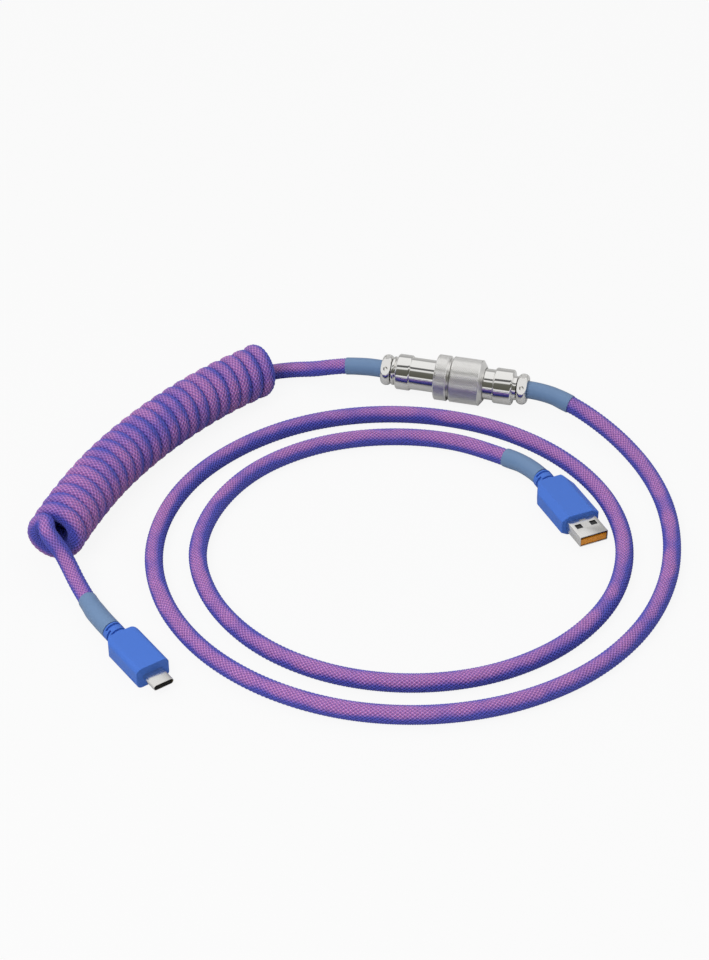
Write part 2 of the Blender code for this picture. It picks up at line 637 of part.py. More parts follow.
def usb_c_overmould(plug, skins):
    """Grip of the USB-C plug: a rounded block with a ribbed neck, hollow inside."""
    section = rounded(USB_C_WIDTH, USB_C_HEIGHT, 2.2)
    body = extruded("usb_c_overmould", section, USB_C_BODY, along_x(-USB_C_BODY),
                    skins["overmould"], plug, True)
    half = USB_C_WIDTH / 2
    plan = [(-USB_C_BODY, -half + 3.2), (-USB_C_BODY + 0.95, -half + 0.95),
            (-USB_C_BODY + 3.2, -half - 0.1), (1.0, -half - 0.1), (1.0, half + 0.1),
            (-USB_C_BODY + 3.2, half + 0.1), (-USB_C_BODY + 0.95, half - 0.95),
            (-USB_C_BODY, half - 3.2)]
    boolean(body, extruded("usb_c_plan", plan, 12.0, along_z(-6.0), None, plug), "INTERSECT")
    rear = -USB_C_BODY - USB_C_NECK
    boolean(body, neck("usb_c_neck", rear, -USB_C_BODY + 1.0, 3.85, 3.88, plug), "UNION")
    mouth = (USB_C_SHELL_IN + 1.0, USB_C_SHELL[0] + 0.6, USB_C_SHELL[1] + 0.6)
    boolean(body, box_cutter("usb_c_mouth", mouth, (0.5 - USB_C_SHELL_IN / 2, 0.0, 0.0), plug))
    boolean(body, box_cutter("usb_c_chamber", (10.2, 10.4, 5.2), (-11.2, 0.0, 0.0), plug))
    boolean(body, neck("usb_c_bore", rear - 1.0, -16.0, CORE_RADIUS + GAP, CORE_RADIUS + GAP, plug))
    cut_relief_slots(body, "usb_c", rear, USB_C_SLOT_FLOOR, plug)


def stadium_tube(name, size, wall, start, length, skin, plug):
    """A flat tube with round sides, open at both ends."""
    tube = extruded(name, rounded(size[0], size[1], size[1] / 2 - 0.01), length, along_x(start),
                    skin, plug, True)
    inner = (size[0] - 2 * wall, size[1] - 2 * wall)
    boolean(tube, extruded(name + "_inside", rounded(*inner, inner[1] / 2 - 0.01), length + 2.0,
                           along_x(start - 1.0), None, plug))
    return tube


def usb_c_insulator(plug, skins):
    """Black insulator inside the shell, with the slot that takes the socket's tongue."""
    size = (USB_C_SHELL[0] - 2 * USB_C_WALL - 0.12, USB_C_SHELL[1] - 2 * USB_C_WALL - 0.12)
    body = extruded("usb_c_insulator", rounded(*size, size[1] / 2 - 0.01), 12.6, along_x(-6.2),
                    skins["bakelite"], plug, True)
    boolean(body, box_cutter("usb_c_slot", (7.4, 6.7, 1.1), (3.7, 0.0, 0.0), plug))


def usb_c_contact_row(name, level, plug, skins):
    """Twelve spring fingers on one carrier strip, cut from a single sheet."""
    pitch, finger, root, tip = 0.5, 0.26, 0.25, 6.0
    outline = [(root, -3.1)]
    for number in range(12):
        y = (number - 5.5) * pitch
        outline += [(root + 0.5, y - finger / 2), (tip, y - finger / 2),
                    (tip, y + finger / 2), (root + 0.5, y + finger / 2)]
    outline.append((root, 3.1))
    extruded(name, outline, 0.12, along_z(level), skins["gold"], plug)


def usb_c_board(plug, skins):
    extruded("usb_c_board", rectangle(8.6, 0.8), 7.6, along_x(-14.6), skins["board"], plug)


def usb_c_inner_can(plug, skins):
    """Steel can round the board, open at both ends."""
    can = extruded("usb_c_inner_can", rounded(9.8, 4.6, 0.5, 2), 8.6, along_x(-15.6),
                   skins["shell"], plug)
    boolean(can, extruded("usb_c_can_inside", rectangle(9.3, 4.1), 10.0, along_x(-16.5), None, plug))


def build_usb_a(skins):
    plug = empty("usb_a_frame", (*USB_A_FRONT, USB_A_HEIGHT / 2), USB_A_HEADING)
    usb_a_overmould(plug, skins)
    usb_a_shell(plug, skins)
    usb_a_tongue(plug, skins)
    usb_a_contacts(plug, skins)
    usb_a_inner_mould(plug, skins)


def build_usb_c(skins):
    plug = empty("usb_c_frame", (*USB_C_FRONT, USB_C_HEIGHT / 2), USB_C_HEADING)
    usb_c_overmould(plug, skins)
    stadium_tube("usb_c_shell", USB_C_SHELL, USB_C_WALL, -USB_C_SHELL_IN + 0.2,
                 USB_C_SHELL_IN - 0.2 + USB_C_SHELL_OUT, skins["shell"], plug)
    usb_c_insulator(plug, skins)
    usb_c_contact_row("usb_c_contacts_upper", 0.38, plug, skins)
    usb_c_contact_row("usb_c_contacts_lower", -0.5, plug, skins)
    usb_c_board(plug, skins)
    usb_c_inner_can(plug, skins)


def behind(front, heading, distance, height):
    """The point on a plug's axis a distance behind its front face."""
    x, y = front
    return (x - distance * math.cos(heading), y - distance * math.sin(heading), height)


def build_cables(skins):
    braid, shrink, jacket = skins["braid"], skins["shrink"], skins["jacket"]
    cord("host_cable", HOST_ROUTE, HOST_CABLE_RADIUS, POINT_SPACING, 8, braid)
    cord("device_lead", LEAD_ROUTE, DEVICE_CABLE_RADIUS, 6.0, 8, braid)
    cord("device_coil", COIL_ROUTE, COIL_RADIUS, 12.5, 12, braid)
    cord("device_tail", TAIL_ROUTE, DEVICE_CABLE_RADIUS, 5.0, 8, braid)
    usb_a_end = behind(USB_A_FRONT, USB_A_HEADING, CORE_END_IN_USB_A, USB_A_HEIGHT / 2)
    usb_c_end = behind(USB_C_FRONT, USB_C_HEADING, CORE_END_IN_USB_C, USB_C_HEIGHT / 2)
    ends = {
        "device": (DEVICE_SHRINK_ROUTE, (-CORE_END_IN_CONNECTOR, 0.0, AXIS_HEIGHT)),
        "host": (HOST_SHRINK_ROUTE[::-1], (CORE_END_IN_CONNECTOR, 0.0, AXIS_HEIGHT)),
        "usb_a": (USB_A_SHRINK_ROUTE, usb_a_end),
        "usb_c": (USB_C_SHRINK_ROUTE, usb_c_end),
    }
    for place, (route, end) in ends.items():
        radius = USB_C_SHRINK_RADIUS if place == "usb_c" else SHRINK_RADIUS
        sleeve(f"{place}_shrink_tube", route, radius, SHRINK_BORE, shrink)
        cord(f"{place}_cable_core", route + [end], CORE_RADIUS, 5.0, 8, jacket)


def main():
    clear_scene()
    skins = make_materials()
    axis = empty("connector_axis", (0.0, 0.0, AXIS_HEIGHT))
    build_connector(axis, skins)
    build_usb_a(skins)
    build_usb_c(skins)
    build_cables(skins)


main()
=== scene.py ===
"""Looks of the coiled keyboard cable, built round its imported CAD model.

Metres, in the CAD frame: +X runs along the connector from the device half to the host half, and
Z = 0 is the desk. The cords come first, then the connector, the plugs, the materials and the stage.
"""
import math

import bmesh
import bpy
import numpy as np
from mathutils import Matrix, Vector


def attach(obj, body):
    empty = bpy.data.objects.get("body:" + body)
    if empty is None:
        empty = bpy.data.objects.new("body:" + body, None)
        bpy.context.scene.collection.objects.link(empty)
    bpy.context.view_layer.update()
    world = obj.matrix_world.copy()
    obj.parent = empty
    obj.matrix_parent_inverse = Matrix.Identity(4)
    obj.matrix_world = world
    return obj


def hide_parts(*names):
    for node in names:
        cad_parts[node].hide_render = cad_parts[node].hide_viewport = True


MM = 0.001

# Camera: where it stands in the frame, how it is turned, and its lens.
CAMERA_PLACE = (0.1529, -0.7678, 0.5463)
CAMERA_TURN = (53.0, 0.0, 14.31)
CAMERA_LENS = 85.65

# Cables: radius at the crests of the braid, and the braid's lattice.
HOST_CABLE_RADIUS = 3.5 * MM
DEVICE_CABLE_RADIUS = 3.3 * MM
STRAND_PITCH = 1.69 * MM
HOST_STRANDS = 15
DEVICE_STRANDS = 14
STRAND_HEIGHT = 0.36 * MM
STRAND_HALF_WIDTH = 0.2

# The side toward which the braid is painted lit, with painted shade away from it; how strongly the
# coil's turns are painted lit on their outer crowns, with painted shade in the grooves between them;
# how much that lit side leans there toward the plug end, and how square the turns are pressed.
LIT_SIDE = (-0.17, -0.43, 0.89)
COIL_LIT_STRENGTH = 0.92
COIL_LEAN = 0.45
COIL_SQUARENESS = 0.12

# Colours in linear light.
# The braid's colours come in lit and shaded copies: painted light on the side the braid is painted lit
# toward, painted shade on the far side and in the grooves between the coil's turns.
STRAND_SHADE = (0.078, 0.088, 0.49)
STRAND_LIT = (0.32, 0.18, 0.48)
CROSSING_LIT = (0.60, 0.22, 0.50)
# The core's colours are darkened as painted shade where it shows between the strands.
CORE_SHADE = (0.035, 0.032, 0.25)
CORE_LIT = (0.23, 0.07, 0.29)
OVERMOULD_BLUE = (0.055, 0.155, 0.56)
SHRINK_BLUE = (0.13, 0.22, 0.38)

# Connector details.
CLAMP_TILT = 47.0
CLAMP_STARTS = {"device": -30.8, "host": 26.6}
CLAMP_LENGTH = 4.2
CLAMP_FLAT = 5.3
CLAMP_PROFILE = ((0.0, 4.0), (4.2, 4.0), (4.2, 5.0), (4.05, 5.5), (3.6, 6.0), (2.9, 6.35), (2.1, 6.45),
                 (1.3, 6.35), (0.6, 6.0), (0.15, 5.5), (0.0, 5.0))
KNURL_STEPS = 256
KNURL_ROW = 0.235
KNURL_DEPTH = 0.2
SHRINK_WALL = 0.3 * MM

# Light: power of the overhead panel in watts, and the surroundings' bands as (angle, colour).
KEY_POWER = 14.0
FILL_POWER = 2.0
SKY_STRENGTH = 1.0
SKY_BANDS = (
    (0.0, (0.9, 0.9, 0.9)), (8.0, (0.8, 0.8, 0.8)), (11.0, (0.10, 0.10, 0.08)),
    (50.0, (0.14, 0.14, 0.12)), (56.0, (0.85, 0.85, 0.85)), (64.0, (0.85, 0.85, 0.85)),
    (68.0, (0.10, 0.10, 0.10)), (78.0, (0.12, 0.12, 0.12)), (82.0, (0.92, 0.92, 0.92)),
    (140.0, (0.95, 0.95, 0.95)), (146.0, (0.4, 0.4, 0.4)), (180.0, (0.55, 0.55, 0.55)),
)

# Plugs: the middle of each front face on the desk, the heading in degrees, and section sizes.
# The facets, shoulders and corners are those of the grips.
USB_A_FRONT = (66.0, -75.8)
USB_A_HEADING = -51.5
USB_A_HEIGHT = 8.8
USB_A_WIDTH = 16.2
USB_A_BODY = 25.4
USB_A_SHELL = (12.0, 4.5)
USB_A_FLAT = 5.2
USB_A_FACET = 1.7
USB_A_SHOULDER = 5.6
USB_C_FRONT = (-66.0, -198.8)
USB_C_HEADING = -40.3
USB_C_HEIGHT = 8.6
USB_C_WIDTH = 13.4
USB_C_BODY = 22.0
USB_C_EDGE = 2.2
USB_C_CORNER = 3.2
RELIEF_SLOT_WIDTH = 0.95

# Coil: mean radius of the helix, rise for each turn, and the angles at which it starts and ends.
HELIX_RADIUS = 7.7 * MM
HELIX_PITCH = 6.19 * MM
HELIX_POINTS = 24
HELIX_FIRST_ANGLE = 58.0
HELIX_LAST_ANGLE = -25.0

HOST_ROUTE = [
    (50.3, -4.5, 8.0), (64.6, -13.4, 6.3), (79.6, -27.5, 4.3), (93.0, -48.9, 3.5),
    (101.3, -75.2, 3.5), (103.4, -102.5, 3.5), (97.6, -133.0, 3.5), (83.6, -159.3, 3.5),
    (60.5, -181.5, 3.5), (32.5, -195.0, 3.5), (3.0, -199.5, 3.5), (-26.8, -194.7, 3.5),
    (-53.0, -181.5, 3.5), (-74.1, -160.4, 3.5), (-86.8, -135.0, 3.5), (-90.5, -110.0, 3.5),
    (-87.2, -85.7, 3.5), (-76.0, -61.5, 3.5), (-56.2, -39.5, 3.5), (-31.0, -25.5, 3.5),
    (-2.8, -19.9, 3.5), (25.0, -23.0, 3.5), (50.5, -34.8, 3.5), (72.0, -56.0, 3.5),
    (84.5, -84.5, 3.5), (84.6, -118.0, 3.5), (71.5, -147.7, 3.5), (50.4, -168.5, 3.5),
    (24.0, -180.3, 3.5), (-5.0, -182.5, 3.5), (-32.6, -174.4, 3.5), (-57.0, -155.0, 3.5),
    (-71.0, -130.0, 3.5), (-73.3, -102.0, 3.5), (-64.4, -73.2, 3.5), (-45.6, -51.6, 3.5),
    (-20.0, -38.6, 3.5), (7.9, -35.2, 3.5), (29.1, -40.2, 3.5),
]
COIL_ROUTE = [
    (-79.0, -14.5, 10.95), (-91.4, -32.0, 10.95), (-102.8, -53.1, 10.95),
    (-111.5, -74.5, 10.95), (-118.3, -98.0, 10.95), (-122.0, -121.5, 10.95),
    (-123.6, -142.0, 10.95),
]
LEAD_ROUTE = [
    (-80.6, -7.6, 3.6), (-76.2, -4.4, 3.4), (-68.5, -1.8, 4.0), (-60.0, -1.3, 5.5),
    (-52.5, -1.0, 7.5), (-46.8, -0.8, 8.8),
]
COIL_EXIT = [(-125.9, -143.1, 18.3)]
TAIL_ROUTE = [
    (-124.1, -146.8, 17.3), (-121.2, -148.7, 14.8), (-117.6, -150.2, 11.3),
    (-114.0, -153.1, 8.0), (-110.0, -157.4, 5.7), (-102.7, -165.5, 4.0),
]
DEVICE_SHRINK_ROUTE = [(-46.3, -0.75, 8.9), (-42.0, -0.4, 9.3), (-37.0, 0.0, 9.5), (-27.5, 0.0, 9.5)]
HOST_SHRINK_ROUTE = [(27.5, 0.0, 9.5), (33.0, 0.0, 9.5), (41.0, -1.2, 9.2), (49.4, -4.1, 8.15)]
USB_A_SHRINK_ROUTE = [(29.7, -40.4, 3.65), (36.6, -43.1, 3.8), (42.2, -47.1, 4.15),
                      (46.1, -50.8, 4.4)]
USB_C_SHRINK_ROUTE = [(-102.3, -166.0, 4.0), (-97.5, -171.4, 4.1), (-92.5, -176.2, 4.25),
                      (-87.8, -180.3, 4.3)]


# Paths ------------------------------------------------------------------------------------------

def metres(points):
    return np.array(points, float) * MM


def smooth_path(knots, step):
    """A curve through the knots, timed by the distance between them, at even steps."""
    gaps = np.linalg.norm(np.diff(knots, axis=0), axis=1)[:, None]
    runs = np.diff(knots, axis=0) / gaps
    inner = (runs[:-1] * gaps[1:] + runs[1:] * gaps[:-1]) / (gaps[1:] + gaps[:-1])
    slopes = np.vstack([runs[:1], inner, runs[-1:]])
    t = np.linspace(0.0, 1.0, 16, endpoint=False)[None, :, None]
    p0, p1, m0, m1 = (a[:, None, :] for a in (knots[:-1], knots[1:], slopes[:-1], slopes[1:]))
    d = gaps[:, None]
    curve = ((2 * t ** 3 - 3 * t ** 2 + 1) * p0 + (t ** 3 - 2 * t ** 2 + t) * d * m0
             + (3 * t ** 2 - 2 * t ** 3) * p1 + (t ** 3 - t ** 2) * d * m1).reshape(-1, 3)
    return even(np.vstack([curve, knots[-1:]]), step)


def lengths_along(points):
    return np.concatenate([[0.0], np.cumsum(np.linalg.norm(np.diff(points, axis=0), axis=1))])


def even(points, step):
    """The polyline again, with its points a step apart."""
    along = lengths_along(points)
    at = np.linspace(0.0, along[-1], max(2, round(along[-1] / step)) + 1)
    return np.stack([np.interp(at, along, points[:, k]) for k in range(3)], axis=1)


def relaxed(points, reach):
    """The polyline with small kinks averaged away, its ends kept."""
    kernel = np.hanning(2 * reach + 3)[1:-1]
    kernel /= kernel.sum()
    padded = np.vstack([2 * points[0] - points[reach:0:-1], points,
                        2 * points[-1] - points[-2:-reach - 2:-1]])
    return np.stack([np.convolve(column, kernel, "valid") for column in padded.T], axis=1)


def carried_frames(path):
    """Heading, side and up at each point, carried along the path without twist."""
    heading = np.gradient(path, axis=0)
    heading /= np.linalg.norm(heading, axis=1)[:, None]
    side = np.empty_like(path)
    start = np.cross(heading[0], (0.0, 0.0, 1.0))
    side[0] = start / np.linalg.norm(start)
    for i in range(1, len(path)):
        turned = side[i - 1] - heading[i] * (side[i - 1] @ heading[i])
        side[i] = turned / np.linalg.norm(turned)
    return heading, side, np.cross(side, heading)


def helix(centre_route):
    """Points of the coil from its connector end to its plug end, wound round the centre line."""
    centre = smooth_path(metres(centre_route), 0.5 * MM)
    along = lengths_along(centre)
    turns = round(along[-1] / HELIX_PITCH)
    sweep = 360.0 * turns + HELIX_FIRST_ANGLE - HELIX_LAST_ANGLE
    count = round(sweep / 360.0 * HELIX_POINTS)
    points = []
    for k in range(count + 1):
        at = along[-1] * k / count
        place = np.array([np.interp(at, along, centre[:, axis]) for axis in range(3)])
        ahead = np.array([np.interp(at - 2.0 * MM, along, centre[:, axis])
                          - np.interp(at + 2.0 * MM, along, centre[:, axis]) for axis in range(3)])
        ahead /= np.linalg.norm(ahead)
        left = np.cross((0.0, 0.0, 1.0), ahead)
        angle = math.radians(HELIX_LAST_ANGLE + sweep * k / count)
        points.append(place + HELIX_RADIUS * (math.cos(angle) * left
                                              + math.sin(angle) * np.array([0.0, 0.0, 1.0])))
    return np.array(points)


def host_cord_path():
    """From the host clamp, round the two loops, to the USB-A plug."""
    knots = np.vstack([metres(HOST_SHRINK_ROUTE[1:]), metres(HOST_ROUTE[1:]),
                       metres(USB_A_SHRINK_ROUTE[1:])])
    return relaxed(smooth_path(knots, 0.5 * MM), 4)


def outward_from_coil(path):
    """Directions, for each point, toward which the braid is painted lit and in which the turns
    press it square.

    In the coil it is pressed away from the coil's axis and is painted lit that way, leaning along the
    axis, so the grooves between the turns get painted shade. Elsewhere it is painted lit toward one
    fixed side, with painted shade away from it, and is not pressed.
    """
    centre = smooth_path(metres(COIL_ROUTE), 2.0 * MM)
    gaps = np.linalg.norm(path[:, None] - centre[None], axis=2)
    nearest = gaps.argmin(axis=1)
    away = path - centre[nearest]
    in_coil = (gaps.min(axis=1) < HELIX_RADIUS * 1.1) & (nearest > 0) & (nearest < len(centre) - 1)
    away /= np.linalg.norm(away, axis=1)[:, None]
    axis = np.gradient(centre, axis=0)[nearest]
    leaning = away + COIL_LEAN * axis / np.linalg.norm(axis, axis=1)[:, None]
    leaning *= COIL_LIT_STRENGTH / np.linalg.norm(leaning, axis=1)[:, None]
    leaning[~in_coil] = LIT_SIDE
    away[~in_coil] = 0.0
    return relaxed(np.column_stack([leaning, away]), 12)


def device_cord_path():
    """From the device clamp, through the lead, the coil and the tail, to the USB-C plug."""
    knots = np.vstack([metres(DEVICE_SHRINK_ROUTE[2::-1]), metres(LEAD_ROUTE[-2::-1]),
                       helix(COIL_ROUTE), metres(COIL_EXIT), metres(TAIL_ROUTE),
                       metres(USB_C_SHRINK_ROUTE[1:])])
    return relaxed(smooth_path(knots, 0.5 * MM), 4)


# Meshes -----------------------------------------------------------------------------------------

def mesh_object(name, points, faces, maps=None, smooth=True):
    """A mesh from arrays of points and equal-sided faces, with optional maps by corner."""
    mesh = bpy.data.meshes.new(name)
    mesh.vertices.add(len(points))
    mesh.vertices.foreach_set("co", np.asarray(points, np.float32).ravel())
    sides = faces.shape[1]
    mesh.loops.add(faces.size)
    mesh.loops.foreach_set("vertex_index", faces.astype(np.int32).ravel())
    mesh.polygons.add(len(faces))
    mesh.polygons.foreach_set("loop_start", np.arange(0, faces.size, sides, dtype=np.int32))
    mesh.polygons.foreach_set("loop_total", np.full(len(faces), sides, np.int32))
    for label, values in (maps or {}).items():
        layer = mesh.uv_layers.new(name=label)
        layer.data.foreach_set("uv", np.asarray(values, np.float32).ravel())
    mesh.update(calc_edges=True)
    mesh.validate()
    if smooth:
        mesh.shade_smooth()
    made = bpy.data.objects.new(name, mesh)
    bpy.context.scene.collection.objects.link(made)
    return made


def strand_value(index):
    """Lattice coordinate of a row of points: three rows for each strand, at its crest and feet."""
    steps = np.array([0.0, STRAND_HALF_WIDTH, 1.0 - STRAND_HALF_WIDTH])
    return index // 3 + steps[index % 3]


def braid_height(a, b):
    """Relief from 0 to 1 at a lattice point: each strand passes over one and under one."""
    crest_a, crest_b = a % 3 == 0, b % 3 == 0
    near_a, near_b = (a + 1) // 3, (b + 1) // 3
    over = (near_a + near_b) % 2 == 0
    height = np.where(crest_a & ~crest_b, np.where(over, 0.95, 0.5), 0.0)
    height = np.where(crest_b & ~crest_a, np.where(over, 0.5, 0.95), height)
    return np.where(crest_a & crest_b, 1.0, height)


def braided_cord(name, path, lit_and_outward, radius, strands):
    """A closed tube whose mesh follows the two families of strands of its braid.

    Along a strand of one family a is constant, along the other b is. Their difference runs
    along the cord and their sum runs round it. In the coil the turns press each other square.
    """
    along = lengths_along(path)
    frames = carried_frames(path)[1:]
    around = 3 * strands
    first = -4
    last = int(3 * 2 * along[-1] / STRAND_PITCH) + 5
    m, b = np.meshgrid(np.arange(first, last + 1), np.arange(around), indexing="ij")
    a = m + b
    p, q = strand_value(a), strand_value(b)
    s = np.clip((p - q) * STRAND_PITCH / 2, 0.0, along[-1])
    angle = math.pi * (p + q) / strands
    reach = radius - STRAND_HEIGHT * (1.0 - braid_height(a, b))
    reach[0] = reach[-1] = 0.0
    place, side, up, lit_and_away = (
        np.stack([np.interp(s, along, column) for column in table.T], axis=-1)
        for table in (path, *frames, lit_and_outward)
    )
    spoke = np.cos(angle)[..., None] * side + np.sin(angle)[..., None] * up
    # Painted light: how far each point faces the side painted lit; facing away gets painted shade.
    lit_facing = (spoke * lit_and_away[..., :3]).sum(axis=-1)
    outwardness = (spoke * lit_and_away[..., 3:]).sum(axis=-1) ** 2
    reach *= 1.0 + 4.0 * COIL_SQUARENESS * outwardness * (1.0 - outwardness)
    points = place + reach[..., None] * spoke
    lit_facing = lit_facing.ravel()
    ids = np.arange(points[..., 0].size).reshape(m.shape)
    ids[0] = ids[0, 0]
    ids[-1] = ids[-1, 0]
    here, ahead, behind = ids[1:-1], ids[2:], ids[:-2]
    beyond = np.roll(here, -1, axis=1)
    faces = np.stack([here, ahead, beyond, np.roll(behind, -1, axis=1)], axis=-1).reshape(-1, 4)
    a0, b0 = a[1:-1], b[1:-1]
    corners = [(a0, b0), (a0 + 1, b0), (a0 + 1, b0 + 1), (a0, b0 + 1)]
    weave = np.stack([np.stack([strand_value(i), strand_value(j)], axis=-1) for i, j in corners],
                     axis=2)
    lit_corners = np.stack([lit_facing[faces], np.zeros(faces.shape)], axis=-1)
    used, faces = np.unique(faces, return_inverse=True)
    maps = {"weave": weave.reshape(-1, 2), "lit_facing": lit_corners.reshape(-1, 2)}
    return mesh_object(name, points.reshape(-1, 3)[used], faces.reshape(-1, 4), maps)


def ring_grid(points, closed_along=True):
    """Quads between neighbouring rows of a grid whose columns go all the way round."""
    rows, columns = points.shape[:2]
    ids = np.arange(rows * columns).reshape(rows, columns)
    ahead = np.roll(ids, -1, axis=0) if closed_along else ids[1:]
    here = ids if closed_along else ids[:-1]
    return np.stack([here, np.roll(here, -1, axis=1), np.roll(ahead, -1, axis=1), ahead],
                    axis=-1).reshape(-1, 4)


def turned(name, profile, steps=144, relief=None, centre=(0.0, 0.0, 9.5)):
    """Spin a closed profile of (x, radius) points round a line along X.

    The profile runs so that the solid is on its left. relief changes the grid of radii.
    """
    x, r = (np.array(values, float) for values in zip(*profile))
    angle = np.linspace(0.0, 2 * math.pi, steps, endpoint=False)
    radii = np.repeat(r[:, None], steps, axis=1)
    if relief:
        radii = relief(x[:, None], radii, angle[None, :])
    points = np.stack([np.repeat(x[:, None], steps, axis=1), radii * np.cos(angle),
                       radii * np.sin(angle)], axis=-1) + np.array(centre) * (0, 1, 1)
    made = mesh_object(name, points.reshape(-1, 3) * MM, ring_grid(points))
    made.data.set_sharp_from_angle(angle=math.radians(28.0))
    return made


def tube(name, path, outer, bore, steps=48):
    """A hollow tube along a path; outer and bore are radii for each of its points."""
    _, side, up = carried_frames(path)
    angle = np.linspace(0.0, 2 * math.pi, steps, endpoint=False)[None, :, None]
    spokes = np.cos(angle) * side[:, None] + np.sin(angle) * up[:, None]
    outside = path[:, None] + outer[:, None, None] * spokes
    inside = path[:, None] + bore[:, None, None] * spokes
    points = np.concatenate([outside, inside[::-1]])
    made = mesh_object(name, points.reshape(-1, 3), ring_grid(points)[:, ::-1])
    made.data.set_sharp_from_angle(angle=math.radians(50.0))
    return made


def softened(name, node, width, segments=2, least=25.0):
    """A copy of a CAD node's mesh with its flat faces merged and its edges rounded."""
    bm = bmesh.new()
    bm.from_mesh(frame["nodes"][node].data)
    bmesh.ops.remove_doubles(bm, verts=bm.verts, dist=0.002 * MM)
    bmesh.ops.dissolve_limit(bm, angle_limit=math.radians(1.0), verts=bm.verts, edges=bm.edges)
    mesh = bpy.data.meshes.new(name)
    bm.to_mesh(mesh)
    bm.free()
    mesh.materials.clear()
    mesh.shade_smooth()
    mesh.set_sharp_from_angle(angle=math.radians(40.0))
    made = bpy.data.objects.new(name, mesh)
    bpy.context.scene.collection.objects.link(made)
    bevel = made.modifiers.new("edges", "BEVEL")
    bevel.width = width * MM
    bevel.segments = segments
    bevel.limit_method = "ANGLE"
    bevel.angle_limit = math.radians(least)
    bevel.harden_normals = True
    return made


def prism(name, outline, depth, place):
    """An outline of (u, v) points pushed along w; place maps u, v, w in millimetres to the frame."""
    bm = bmesh.new()
    face = bm.faces.new([bm.verts.new((u * MM, v * MM, 0.0)) for u, v in outline])
    pushed = bmesh.ops.extrude_face_region(bm, geom=[face])
    moved = [item for item in pushed["geom"] if isinstance(item, bmesh.types.BMVert)]
    bmesh.ops.translate(bm, verts=moved, vec=(0.0, 0.0, depth * MM))
    bmesh.ops.transform(bm, verts=bm.verts, matrix=place)
    bmesh.ops.recalc_face_normals(bm, faces=bm.faces)
    mesh = bpy.data.meshes.new(name)
    bm.to_mesh(mesh)
    bm.free()
    made = bpy.data.objects.new(name, mesh)
    bpy.context.scene.collection.objects.link(made)
    return made


def bevelled(thing, width, segments=3, least=30.0):
    thing.data.shade_smooth()
    bevel = thing.modifiers.new("edges", "BEVEL")
    bevel.width = width * MM
    bevel.segments = segments
    bevel.limit_method = "ANGLE"
    bevel.angle_limit = math.radians(least)
    thing.modifiers.new("normals", "WEIGHTED_NORMAL").weight = 100
    return thing


def settle(piece, skin, body, *nodes):
    """Give a new piece its material and its body, and hide the CAD nodes that it stands for."""
    piece.data.materials.clear()
    piece.data.materials.append(SKINS[skin]())
    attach(piece, body)
    if nodes:
        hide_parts(*nodes)
    return piece


# Materials --------------------------------------------------------------------------------------

def cached(make):
    """Each material is made once, on first use."""
    made = {}

    def once():
        if make not in made:
            made[make] = make()
        return made[make]
    return once


def node(tree, kind, links=(), **values):
    """A shader node with its inputs set or linked by name."""
    made = tree.nodes.new(kind)
    for key, value in values.items():
        setattr(made, key, value)
    for socket, source in dict(links).items():
        if isinstance(source, bpy.types.NodeSocket):
            tree.links.new(source, made.inputs[socket])
        else:
            made.inputs[socket].default_value = source
    return made


def maths(tree, operation, *terms):
    return node(tree, "ShaderNodeMath", dict(enumerate(terms)), operation=operation).outputs[0]


def mixed(tree, share, first, second):
    """Colour between two, by a share from 0 to 1."""
    made = node(tree, "ShaderNodeMix", {0: share, 6: first, 7: second}, data_type="RGBA")
    return made.outputs[2]


def plain(name, colour, roughness, metallic=0.0, **more):
    """A principled material; more names further sockets with spaces as underscores."""
    made = bpy.data.materials.new(name)
    made.use_nodes = True
    shader = made.node_tree.nodes["Principled BSDF"]
    shader.inputs["Base Color"].default_value = (*colour, 1.0)
    shader.inputs["Roughness"].default_value = roughness
    shader.inputs["Metallic"].default_value = metallic
    for key, value in more.items():
        shader.inputs[key.replace("_", " ")].default_value = value
    return made, made.node_tree, shader


def grain(tree, shader, scale, strength, depth, stretch=(1.0, 1.0, 1.0)):
    """Fine surface noise as a bump, with its scale in cells for each metre."""
    spot = node(tree, "ShaderNodeTexCoord").outputs["Object"]
    spread = node(tree, "ShaderNodeMapping", {"Vector": spot, "Scale": stretch}).outputs[0]
    noise = node(tree, "ShaderNodeTexNoise", {"Vector": spread, "Scale": scale, "Detail": 3.0})
    bump = node(tree, "ShaderNodeBump", {"Height": noise.outputs[0], "Strength": strength,
                                         "Distance": depth})
    tree.links.new(bump.outputs[0], shader.inputs["Normal"])
    return noise.outputs[0]


